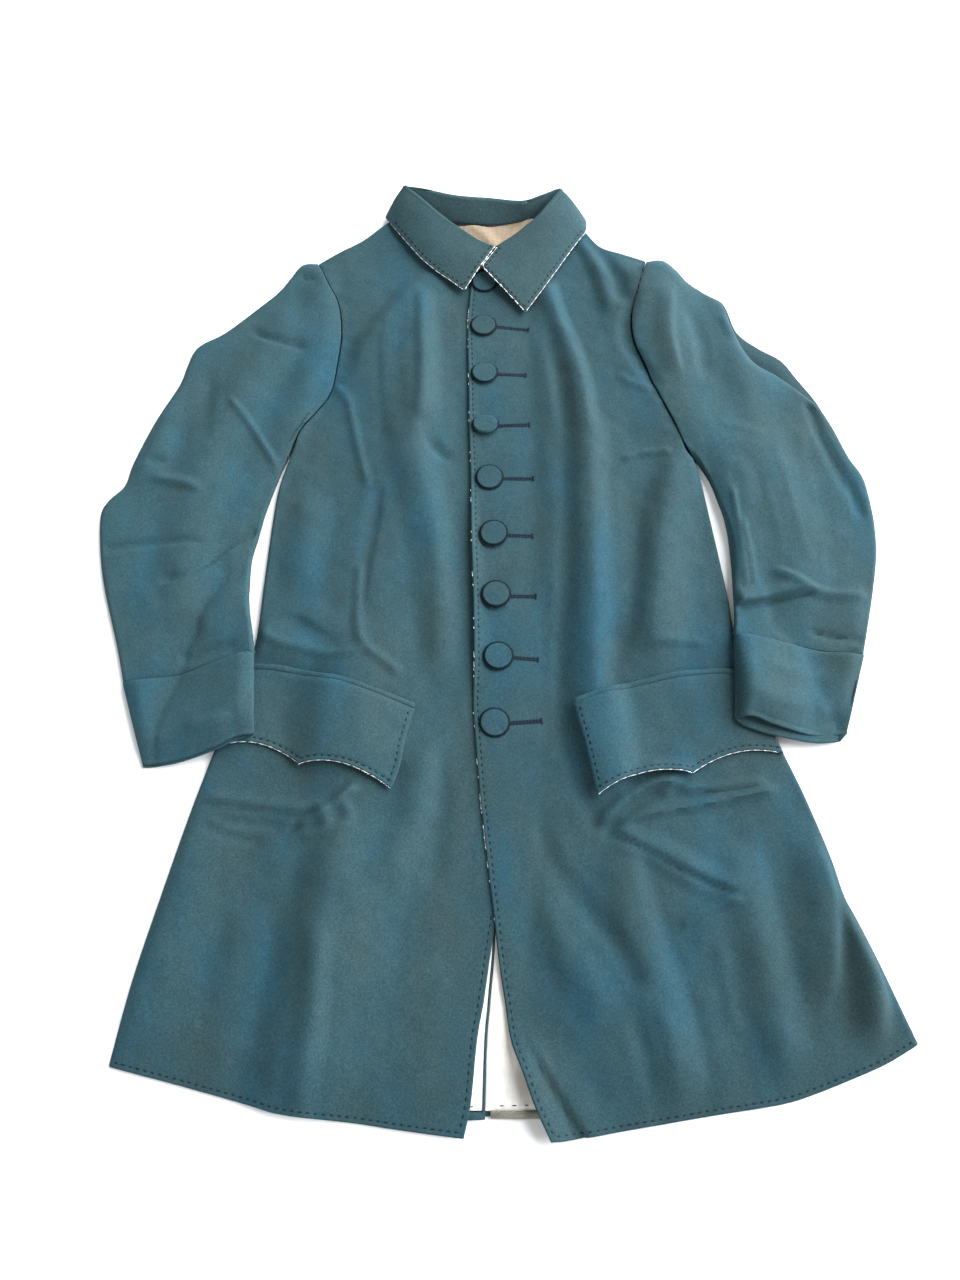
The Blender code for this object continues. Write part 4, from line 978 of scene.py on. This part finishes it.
def ribbon(name, line, widths, ground, finish):
    """A narrow strip lying along a line in the plan, its width changing evenly."""
    line = np.array(line, float)
    half = 0.5 * np.interp(np.linspace(0, 1, len(line)), (0, 1), widths)
    sideways = offset(line, 1.0) - line
    xy = np.stack([line + sideways * (across * half)[:, None]
                   for across in (-1.0, -0.5, 0.0, 0.5, 1.0)])
    crown = 0.35 * np.array((0.0, 0.8, 1.0, 0.8, 0.0))[:, None]
    z = ground.rest(*TRIM_REST, xy) + 0.1 + TRIM + crown
    return shell(name, None, facing_up(lift(xy, z)), TRIM, finish)

# ---------------------------------------------------------------- the body of the coat

def back(half, finish):
    """Half of the back: flat on the floor but for faint creases and the raised neck."""
    outer_edge = by_height(half.side, half.armhole, low=half.back_hem[-1][1],
                           high=half.armhole[-1][1] - SHOULDER_INSET)

    def inset_edge(f):
        return outer_edge(f) - np.array((half.sign * BACK_INSET, 0.0))

    def inset_shoulder(f):
        point = by_length(half.back_neck, half.shoulder)(f)
        point[..., 1] -= SHOULDER_INSET * ease(abs(point[..., 0]), *NECK_END)
        point[..., 0] -= half.sign * BACK_INSET * ease(abs(point[..., 0]), *ARM_END)
        return point

    u = divisions(FRONT_SIZE[0], BACK_CELL, (SEAM_GAP, 1.4, 2.8, 5.0), (0, 1.5, 4))[None, :]
    v = divisions(FRONT_SIZE[1], BACK_CELL, EDGE_STEPS)[:, None]
    xy = patch(by_length(half.back_hem), inset_shoulder, by_height(BACK_SEAM), inset_edge, u, v)
    rise = NECK_LIFT * ease(xy[..., 1], *NECK_RISE)
    rise = rise * (1 - ease(abs(xy[..., 0]), *BACK_NECK_END))
    from_seam = np.broadcast_to(u * FRONT_SIZE[0], rise.shape)
    across, upwards = LINING_END
    under_lining = (1 - ease(abs(xy[..., 0]), *across)) * (1 - ease(xy[..., 1], *upwards))
    creases = relief(xy, BACK_FOLDS) * (1 - under_lining) * ease(from_seam, 8, 40)
    z = CLOTH + rise + creases + 0.5 * bell(from_seam, 1.8)
    return cloth(f"back_{half.name}", xy, z, finish, floor=0.0)


def lining(node, xy, ground, finish):
    """Linen lying on the back, with soft crumples."""
    z = ground.rest(*LINING_REST, xy) + 0.2 + LINEN + 0.25 * (1 + swell(xy, 34, 5))
    z = z + relief(xy, LINING_FOLDS)
    return shell(f"{node}_linen", node, facing_up(lift(xy, z)), LINEN, finish)


def skirt_lining(half, ground, finish):
    """Lining beside the back vent, seen through the open front skirts."""
    v = divisions(SKIRT_LINING_TOP - SKIRT_LINING_HEM, LINEN_CELL)[:, None]
    u = divisions(SKIRT_LINING_REACH, LINEN_CELL)[None, :]
    y = SKIRT_LINING_HEM + v * (SKIRT_LINING_TOP - SKIRT_LINING_HEM) + 0 * u
    line = smooth(BACK_SEAM)
    start = np.interp(y, line[:, 1], line[:, 0]) + half.sign * 1.4
    xy = np.stack((start + half.sign * u * SKIRT_LINING_REACH, y), -1)
    return lining(f"skirt_lining_{half.name}", xy, ground, finish)


def neck_lining(ground, finish):
    """Lining inside the back of the neck, up to the seam of the collar."""
    (x0, x1), low = NECK_LINING
    seam = np.vstack((smooth(Right.back_neck)[::-1], smooth(Left.back_neck)))
    x, f = np.meshgrid(np.linspace(x0, x1, 40), np.linspace(0, 1, 18))
    top = np.interp(x, seam[:, 0], seam[:, 1]) - 1.5
    return lining("neck_lining", np.stack((x, low + f * (top - low)), -1), ground, finish)


def front(half, ground, finish):
    """One front: rolled under at its side and shoulder, lying on what is below."""
    width, length = FRONT_SIZE
    u = divisions(width, CELL, EDGE_STEPS, ROLL_STEPS)[None, :]
    v = divisions(length, CELL, EDGE_STEPS + (15.0,), ROLL_STEPS)[:, None]
    xy = patch(by_length(half.hem), by_length(half.neck, half.shoulder), by_height(half.edge),
               by_height(half.side, half.armhole), u, v)
    u, v = np.broadcast_arrays(u, v)
    x, y = xy[..., 0], xy[..., 1]
    to_edge, to_side = u * width, (1 - u) * width
    to_top, to_hem = (1 - v) * length, v * length
    on_armhole = ease(y - half.armhole[0][1], -4, 26)
    calm = ease(to_side, 0, 12) * (0.5 + 0.5 * ease(to_hem, 0, 45)) * ease(to_top, 0, 34)
    waves = relief(xy, half.folds) + 0.6 * swell(xy, 70, 3) + 0.3 * swell(xy, 26, 8)
    lap = 1 - ease(abs(x - LAP_MIDDLE), *LAP_END)
    waves = waves * calm * (1 - lap) + relief(xy, half.seam_folds) * ease(to_top, 0, 34)
    height = FRONT_HEIGHT + 1.4 * ease(to_side, 0, 40)
    height = height + (UNDER_LAP_HEIGHT - height) * lap
    height = HEM_HEIGHT + (height - HEM_HEIGHT) * ease(to_hem, -20, HEM_RISE) + waves
    # A trough never reaches the floor.
    least = 2.3 + 2.4 * ease(to_hem, 0, 16)
    height = 0.5 * (height + least + np.sqrt((height - least) ** 2 + 0.8))
    height = height + relief(xy, half.corner_folds)
    rest = ground.rest(*FRONT_REST, xy) + GAP + CLOTH
    height = np.maximum(height, rest) + 0.5 * bell(height - rest, 1.5)
    # The lap puffs up a little between one button and the next.
    puffs = 1 - np.cos(2 * math.pi * (y - BUTTONS[1][1]) / BUTTON_PITCH)
    height = height + 0.35 * puffs * lap * ease(y, *PUFFS_END)
    rise = roll_rise(to_side)
    rise = rise + (1 - rise) * np.where(to_side < ROLL, on_armhole, 0)
    top_rise = roll_rise(to_top)
    top_rise = top_rise + (1 - top_rise) * (1 - ease(abs(x), *FRONT_NECK_END))
    seam = on_armhole * (bell(to_side, 2.2) * 0.35
                         + 0.35 * bell(to_side - 9, 7) * np.sin(y / 2.9))
    stitched = 0.12 * (bell(to_edge - STITCH_INSET, 1.5) + bell(to_hem - STITCH_INSET, 1.5))
    low = 0.6 + 2.0 * ease(to_side, 0, ROLL) * ease(to_top, 0, ROLL)
    z = low + (height - low) * rise * top_rise - seam - stitched
    return cloth(f"front_{half.name}", xy, z, finish)


# ---------------------------------------------------------------- pockets

def scallop_edge(points):
    """Lower edge of a flap: concave arcs between its points."""
    spans = []
    f = np.linspace(0, 1, SCALLOP_STEPS + 1)[:-1, None]
    for a, b in zip(points, points[1:]):
        line = np.array(a) + f * (np.array(b, float) - a)
        line[:, 1] += SCALLOP_RISE * np.sin(np.pi * f[:, 0]) ** 0.8
        spans.append(line)
    return np.vstack(spans + [np.array([points[-1]], float)])


def flap(half, ground, finish):
    """A pocket flap hanging from its seam."""
    lower = scallop_edge(half.flap_points)
    upper = by_length(half.flap_top)(np.linspace(0, 1, len(lower)))
    rows = divisions(FLAP_DROP, FLAP_CELL, EDGE_STEPS, (0, 1, 2.2))
    xy = lower[None] + rows[:, None, None] * (upper - lower)[None]
    bend = by_length(half.flap_inner)(rows) - xy[:, 0]
    xy = xy + bend[:, None] * np.linspace(1, 0, len(lower))[None, :, None] ** 3
    z = ground.rest(*POCKET_REST, xy) + POCKET_CLEARANCE + FLAP_CLOTH
    to_hem = (rows * FLAP_DROP)[:, None]
    to_end = run_along(lower)[None, :]
    z = z + 0.5 * (1 - ease(to_hem, 0, 16)) - 0.9 * bell(FLAP_DROP - to_hem, 2.2)
    z = z + 0.35 * swell(xy, 46, 4) + relief(xy, FLAP_FOLDS)
    z = z - 0.4 * (bell(to_hem - STITCH_INSET, 1.5) + bell(to_end - STITCH_INSET, 1.6))
    return cloth(f"flap_{half.name}", xy, z, finish, FLAP_CLOTH)


def welt(half, ground, finish):
    """The narrow strip that the flap hangs from."""
    strip = by_length(half.flap_top)(np.linspace(0, 1, 60))
    rise = np.array((SEAM_GAP, 0.9, 1.6, 2.7, 3.8, 4.5, WELT_WIDTH + SEAM_GAP))
    xy = np.stack([strip + np.array((0.0, step)) for step in rise])
    z = ground.rest(*POCKET_REST, xy) + POCKET_CLEARANCE + CLOTH
    across = (rise / WELT_WIDTH)[:, None]
    z = z + 0.5 * np.sin(math.pi * np.clip(across, 0, 1)) - 0.3
    return cloth(f"welt_{half.name}", xy, z, finish)


# ---------------------------------------------------------------- sleeves and cuffs

def arm_rest(ground, xy):
    """Height that a sleeve lies on, faded out above the elbow, where it lies alone."""
    value = ground.rest(*ARM_REST, xy)
    clear = CUFF_CLEARANCE * np.clip(value, 0, 1)
    return (value + clear) * (1 - ease(xy[..., 1], -30, 60))


def sleeve(half, ground, finish, under_painted_shade_finish):
    """The under and the upper piece of one sleeve."""
    width, length = SLEEVE_SIZE
    head = by_length(half.armhole[::-1])

    def piece(outer_curve, u, v):
        return patch(lambda f: head(1 - f), by_length(half.cuff_seam),
                     by_length(half.sleeve_inner), by_length(outer_curve), u, v)

    v = divisions(length, SLEEVE_CELL, SEAM_STEPS, SEAM_STEPS)[:, None]
    u = divisions(width, BACK_CELL, (BACK_INSET,), (BACK_INSET,))[None, :]
    xy = piece(half.sleeve_back, u, v)
    # The under piece takes the darker copy of the wool: painted shade.
    cloth(f"sleeve_under_{half.name}", xy, arm_rest(ground, xy) + CLOTH, under_painted_shade_finish, floor=0.0)

    u = divisions(width, SLEEVE_CELL, ROLL_STEPS, ROLL_STEPS)[None, :]
    xy = piece(half.sleeve_outer, u, v)
    rest = arm_rest(ground, xy)
    u, v = np.broadcast_arrays(u, v)
    from_head, to_cuff = v * length, (1 - v) * length
    to_side = np.minimum(u, 1 - u) * width
    creases = relief(xy, half.sleeve_folds + half.seam_folds)
    creases = creases + 0.5 * swell(xy, 60, 2) + 0.2 * swell(xy, 22, 6)
    height = SLEEVE_HEIGHT + creases * ease(to_side, 0, 9) + 1.2 * ease(to_side, 0, 40)
    rise = roll_rise(to_side)
    rise = rise + (1 - rise) * (1 - ease(from_head, 0, 22)) * (u < 0.5)
    low = 0.6 + 2.0 * ease(to_side, 0, ROLL)
    gather = 0.5 * bell(from_head - 10, 8) * np.sin(xy[..., 1] / 2.7)
    seam_dip = 0.35 * bell(from_head, 2.2) + 0.6 * bell(to_cuff, 2.4)
    z = rest + low + (height - low + gather) * rise - seam_dip
    z = np.maximum(z, rest + CLOTH + 0.5 + CLOTH * (to_side > BACK_INSET + 2))
    cloth(f"sleeve_upper_{half.name}", xy, z, finish)


def cuff(half, ground, finish):
    """A cuff: a flattened ring open at the hand."""
    seam, mouth, under_mouth = map(by_length, (half.cuff_seam, half.cuff_mouth,
                                               half.cuff_under))
    width, length = CUFF_SIZE
    turn = tuple(CUFF_ROLL * np.array((0.0, 0.05, 0.15, 0.3, 0.6, 1.0)))
    rows = divisions(length, CUFF_CELL, (0, 1.0, 2.4, 4.0), EDGE_STEPS)
    u = divisions(width, CUFF_CELL, turn, turn)

    def face(lower):
        a, b = seam(u)[None], lower(u)[None]
        run = np.linalg.norm(b - a, axis=-1, keepdims=True)
        start = a + (b - a) * (2 * SEAM_GAP / run)
        return start + rows[:, None, None] * (b - start)

    to_side = np.minimum(u, 1 - u) * width
    rise = roll_rise(to_side, CUFF_ROLL)[None]
    top, under = face(mouth), face(under_mouth)
    to_seam, to_mouth = (rows * length)[:, None], ((1 - rows) * length)[:, None]
    at_mouth = 1 - ease(to_mouth, 0, 30)
    pressed = 3.4 + 2.8 * ease(to_side, 4, 18)[None]
    thick = CUFF_HEIGHT + 3.6 * ease(to_side, 0, 15)[None] - pressed * at_mouth
    middle = 0.5 * CUFF_HEIGHT - 1.2 * at_mouth
    crease = relief(top, CUFF_FOLDS) + 0.35 * swell(top, 38, 7)
    crease = crease - 0.9 * bell(to_seam, 2.2) - 0.35 * bell(to_mouth - 4.8, 1.6)
    z_top = arm_rest(ground, top) + middle + (thick - middle + crease) * rise
    z_under = arm_rest(ground, under) + middle - middle * rise
    grid = np.concatenate((lift(top, z_top), lift(under, z_under)[:, -2:0:-1]), axis=1)
    if grid_normals(grid, True)[:, len(u) // 2, 2].mean() < 0:
        grid = grid[:, ::-1]
    node = f"cuff_{half.name}"
    shell(f"{node}_cloth", node, grid, FLAP_CLOTH, finish, closed=True, floor=0.0)


# ---------------------------------------------------------------- collar and buttons

def collar_section(row):
    """Middle line of one collar section: stand, round fold and turned-down leaf."""
    neck, fold, edge, lean = row[0:3], row[3:6], row[6:9], row[9]
    to_neck, to_edge = unit(neck - fold), unit(edge - fold)
    nose = unit(-(to_neck + to_edge))
    across = unit(to_edge - (to_edge @ nose) * nose)
    centre = fold - COLLAR_FOLD_RADIUS * nose
    turn = [centre + COLLAR_FOLD_RADIUS * (math.sin(a) * nose - math.cos(a) * across)
            for a in np.radians(np.linspace(0, 180, 11))]
    stand = [neck + f * (turn[0] - neck) for f in np.linspace(0, 1, 9)[:-1]]
    sideways = np.cross((0, 0, 1), to_edge)
    leaf = []
    for step in LEAF_STEPS:
        bow = lean * min(step / BOW_PEAK, (1 - step) / (1 - BOW_PEAK)) * sideways
        leaf.append(turn[-1] + step * (edge - turn[-1]) + bow
                    + (0, 0, LEAF_SWELL * math.sin(math.pi * step)))
    return stand + turn + leaf


def collar(finish, stand_painted_light_finish):
    """The collar, one band folded over and swept round the neck."""
    steps = 9
    dense = smooth(COLLAR_SECTIONS, steps)
    last = len(dense) - 1
    dense[:, 9] = COLLAR_SECTIONS[-1][9] * ease(np.arange(len(dense)),
                                                len(dense) - 1.6 * steps, last)
    middle = np.array([collar_section(row) for row in dense])
    grid = middle + 0.5 * COLLAR_CLOTH * grid_normals(middle)
    grid[..., 2] += 0.3 * swell(grid[..., :2], 40, 9)
    piece = shell("collar_cloth", "collar", grid, COLLAR_CLOTH, finish)
    # Painted light: the faces of the stand take a lighter copy of the wool, though the inside of
    # the stand lies in shade.
    piece.data.materials.append(stand_painted_light_finish)
    columns = grid.shape[1] - 1
    for face in piece.data.polygons[:2 * last * columns]:
        face.material_index = int(face.index % columns < STAND_COLUMNS)


def collar_sewing(dark_thread, raw):
    """Prick stitches round the collar's leaves and the pale edge of its interlining."""
    lines, edges = [], []
    for side, sign, front_row, corner_row in (("right", -1, 0, 5), ("left", 1, -1, 13)):
        fold, tip = COLLAR_SECTIONS[front_row][3:5], COLLAR_SECTIONS[front_row][6:8]
        corner = COLLAR_SECTIONS[corner_row][6:8]
        front_rim = rim_between("collar_cloth", fold, tip)
        lower_rim = rim_between("collar_cloth", tip, corner)
        lines += [offset(rim[:, :2], sign * STITCH_INSET) for rim in (lower_rim, front_rim)]
        edges += [(side, front_rim, 0.36, 0.9), (f"lower_{side}", lower_rim, 0.25, 0.6)]
    stitches("stitches_collar", "collar_cloth", lines, dark_thread)
    for name, rim, radius, fray in edges:
        raw_edge(f"raw_edge_collar_{name}", [rim[1:]], 1.2, radius, raw, fray)


# Buttons that lean: tilt in degrees towards the collar, and their height seen from above.
LEANING = {2: (5, 0.97), 3: (9, 0.93), 4: (16, 0.80)}
# Half of a button's profile, from its middle out: shares of its radius and of its height.
BUTTON_TOP = ((0.0, 1.0), (0.25, 0.995), (0.5, 0.985), (0.7, 0.97), (0.82, 0.955), (0.895, 0.93),
    (0.935, 0.84), (0.965, 0.70), (0.995, 0.50), (1.03, 0.33), (1.055, 0.19), (1.035, 0.07),
    (0.95, 0.03), (0.84, 0.0), (0.5, 0.0))
# Painted shade: the faces from this row of the profile outwards are coloured as a dark ring.
SHADE_RING_FROM = 5           # rows of that profile from the cover's shaded side outwards


def button(number, place, ground, finish, painted_shade_finish):
    """Broadcloth drawn over a round mould, with painted shade: a dark ring where it turns under.
    """
    sides = BUTTON_SIDES
    radius = 0.5 * BUTTON_DIAMETER
    ring = [(place[0] + radius * math.cos(a), place[1] + radius * math.sin(a))
            for a in np.linspace(0, 2 * math.pi, 16, endpoint=False)]
    seat = ground.rest(*TRIM_REST, np.array(ring + [place])).max() + 0.15
    turn = 2 * math.pi * np.arange(sides) / sides
    points = []
    for share, rise in BUTTON_TOP[1:]:
        pleats = 0.012 * np.sin(turn * BUTTON_PLEATS + number) * (rise < 0.6)
        reach = radius * (share + pleats) * (1 + 0.008 * np.sin(2 * turn + number))
        tilt = 0.25 * share * np.sin(turn + 1.3 * number)
        points.append(np.stack((place[0] + reach * np.cos(turn),
                                place[1] + reach * np.sin(turn),
                                seat + rise * BUTTON_HEIGHT + tilt * (rise > 0.2)), -1))
    count = len(points)
    points = np.vstack(points + [np.array([[*place, seat + BUTTON_HEIGHT], [*place, seat]])])
    lean, squeeze = LEANING.get(number, (0, 1))
    slope = math.tan(math.radians(lean))
    up = points[:, 1] - place[1]
    points[:, 1] = place[1] + up * squeeze
    points[:, 2] += radius * slope * 0.6 - (up + radius) * squeeze * slope * 0.5
    index = np.arange(count * sides).reshape(count, sides)
    faces = quads(index[::-1], True).tolist()
    top, bottom = count * sides, count * sides + 1
    for k in range(sides):
        n = (k + 1) % sides
        faces += [[index[0, k], index[0, n], top], [index[-1, n], index[-1, k], bottom]]
    piece = piece_from(f"button_{number}_cover", points, faces, finish)
    # Painted shade: the faces round the rim take the dark ring material.
    piece.data.materials.append(painted_shade_finish)
    for face in piece.data.polygons:
        middle = points[list(face.vertices), :2].mean(0)
        reach = np.hypot(*(middle - place)) / radius
        face.material_index = int(reach > BUTTON_TOP[SHADE_RING_FROM][0])
    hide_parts(f"button_{number}")


# ---------------------------------------------------------------- assembly

def dress():
    """Make every piece, from the floor up."""
    faded = (WOOL_GREY, WOOL_GREY, WOOL)
    front_cloth = {half: wool(f"wool_{half.name}") for half in HALVES}
    # Painted light: the sleeves and their cuffs get lighter copies of the wool, the left one
    # lighter still, for the light they face.
    sleeve_cloth_painted_light = {Right: wool("wool_sleeve_right", 1.05), Left: wool("wool_sleeve_left", 1.13)}
    back_cloth = wool("wool_back", 0.9)
    # Painted shade: the under sleeves get a darker copy of the wool, for the shade they lie in.
    under_cloth_painted_shade = wool("wool_under_sleeves", 0.74)
    flap_cloth = wool("wool_flaps", 1.06)
    button_cloth = wool("button_broadcloth", 0.98)
    # Painted shade: a near-black ring round each button.
    button_side = thread("button_side", BUTTON_PAINTED_SHADE, 0.9)
    white = linen("linen_white", LINEN_WHITE)
    dark_thread = thread("thread_dark", THREAD_DARK)
    navy_thread = thread("thread_navy", NAVY)
    raw = thread("interlining_edge", RAW_EDGE, 0.9)

    backs = [back(half, back_cloth) for half in HALVES]
    ground = Ground([piece.name for piece in backs])
    linings = [neck_lining(ground, linen("linen_cream", LINEN_CREAM))]
    linings += [skirt_lining(half, ground, white) for half in HALVES]
    for piece in linings:
        ground.add(piece.name)
    ribbon("vent_edge", between(BACK_SEAM, -483, VENT_TOP)[::-1], (0.9, 2.0), ground,
           thread("vent_wool", tint(WOOL, 0.9), 0.9))
    ribbon("hem_facing_left", ((2, -483.2), (22, -483.4), (44, -483.3), (62, -482.0)),
           (6.4, 6.4), ground, wool_like("hem_facing_wool", HEM_TAN))
    ribbon("hem_facing_right", ((-30, -484.6), (-16, -484.6), (-3, -484.2)), (6.0, 6.0), ground,
           thread("hem_wool", tint(WOOL, 0.8), 0.9))

    lapped = Ground([piece.name for piece in linings])
    fronts = []
    for half in HALVES:
        fronts.append(front(half, lapped, front_cloth[half]))
        lapped.add(fronts[-1].name)
    body = Ground([piece.name for piece in backs + fronts])
    for half in HALVES:
        for piece in (flap(half, body, flap_cloth), welt(half, body, flap_cloth)):
            body.add(piece.name)
    for half in HALVES:
        sleeve(half, body, sleeve_cloth_painted_light[half], under_cloth_painted_shade)
        cuff(half, body, sleeve_cloth_painted_light[half])

    # The collar stand gets a lighter copy of the wool: painted light.
    collar(wool("wool_collar", 1.08, faded), wool("wool_stand", 1.5, faded))
    for number, place in enumerate(BUTTONS, start=1):
        button(number, place, body, button_cloth, button_side)
    for number, (place, end) in enumerate(zip(BUTTONS[1:], BUTTONHOLE_ENDS), start=2):
        start = (place[0] + 0.5 * BUTTON_DIAMETER - 3.0, place[1] - 1.0)
        buttonhole(number, start, end, navy_thread)

    stitches("stitches_front_edge", "front_left_cloth",
             [offset(smooth(Left.edge), -STITCH_INSET), offset(smooth(Left.hem), STITCH_INSET)],
             dark_thread)
    stitches("stitches_under_front", "front_right_cloth",
             [offset(between(Right.edge, -498, -318), STITCH_INSET),
              offset(smooth(Right.hem), -STITCH_INSET)], dark_thread)
    for half in HALVES:
        name, points, inset = f"flap_{half.name}", half.flap_points, half.sign * STITCH_INSET
        stitches(f"stitches_{name}", f"{name}_cloth",
                 [offset(scallop_edge(points), inset), offset(smooth(half.flap_inner), -inset)],
                 dark_thread)
        rim = np.vstack([rim_between(f"{name}_cloth", a, b) for a, b in zip(points, points[1:])])
        raw_edge(f"raw_edge_{name}", [rim[:-4]], 0.6, 0.21, raw)
    stitches("stitches_lining", "skirt_lining_left_linen",
             [((3, -476.5), (62, -475.5))], dark_thread, (3.6, 0.9, 0.5), 9.6)
    stitches("stitches_lining_right", "skirt_lining_right_linen",
             [((-22, -477.0), (-6, -477.0))], dark_thread, (3.0, 0.9, 0.5), 8.0)
    collar_sewing(dark_thread, raw)
    frays = list(EDGE_FRAYS)
    for k in range(-322, 350, 24):
        low = k + 7 * math.sin(1.7 * k)
        frays.append((low, low + 3 + 2.5 * math.sin(0.13 * low) ** 2))
    rims = [rim_between("front_left_cloth", *between(Left.edge, low, high)[[0, -1]])
            for low, high in frays]
    raw_edge("raw_edge_front", rims, 0.35, 0.15, raw, 0.8)


# ---------------------------------------------------------------- light and camera

SKY = 0.34                      # strength of the even light from all round
SKY_COLOUR = (1.0, 0.98, 0.93, 1)
LIGHT_COLOUR = (0.95, 1.0, 1.05)
# Broad distant lights: direction they come from, strength and width in degrees.
LIGHTS = {"window": ((0.95, 0.58, 0.41), 13.5, 84.0),
          "room": ((-0.5, -0.9, 0.45), 1.5, 70.0)}
FLOOR_REACH = 6.0
FLOOR_DROP = 0.0004             # keeps the floor just clear of the cloth
CAMERA_PLACE = (-7, -384, 900)
CAMERA_TILT = 20
LENS = 27.0


def studio():
    """A pale floor, soft light from the upper right, and the camera."""
    mesh = bpy.data.meshes.new("floor")
    reach = FLOOR_REACH
    mesh.from_pydata([(-reach, -reach, 0), (reach, -reach, 0), (reach, reach, 0),
                      (-reach, reach, 0)], [], [(0, 1, 2, 3)])
    nodes = Nodes("floor_paper")
    nodes.fill(nodes.shader, {"Base Color": PAPER})
    mesh.materials.append(nodes.surface(0.9, 0.0, WHITE, 0.1))
    floor = new_object("floor", mesh)
    floor.location = (0, 0, -FLOOR_DROP)

    world = bpy.data.worlds.new("studio")
    world.use_nodes = True
    sky = world.node_tree.nodes["Background"]
    sky.inputs["Color"].default_value = SKY_COLOUR
    sky.inputs["Strength"].default_value = SKY
    bpy.context.scene.world = world
    for name, (towards, strength, angle) in LIGHTS.items():
        light = bpy.data.lights.new(name, "SUN")
        light.energy = strength
        light.angle = math.radians(angle)
        light.color = LIGHT_COLOUR
        lamp = new_object(name, light)
        lamp.location = Vector(towards) * 2
        lamp.rotation_euler = Vector(towards).to_track_quat("Z", "Y").to_euler()
    bpy.context.scene.view_settings.view_transform = "Standard"

    data = bpy.data.cameras.new("camera")
    data.lens = LENS
    data.sensor_width = 36.0
    data.clip_start = 0.01
    camera = new_object("camera", data)
    camera.location = Vector(CAMERA_PLACE) * MM + SHIFT
    camera.rotation_euler = (math.radians(CAMERA_TILT), 0, 0)
    bpy.context.scene.camera = camera


dress()
studio()
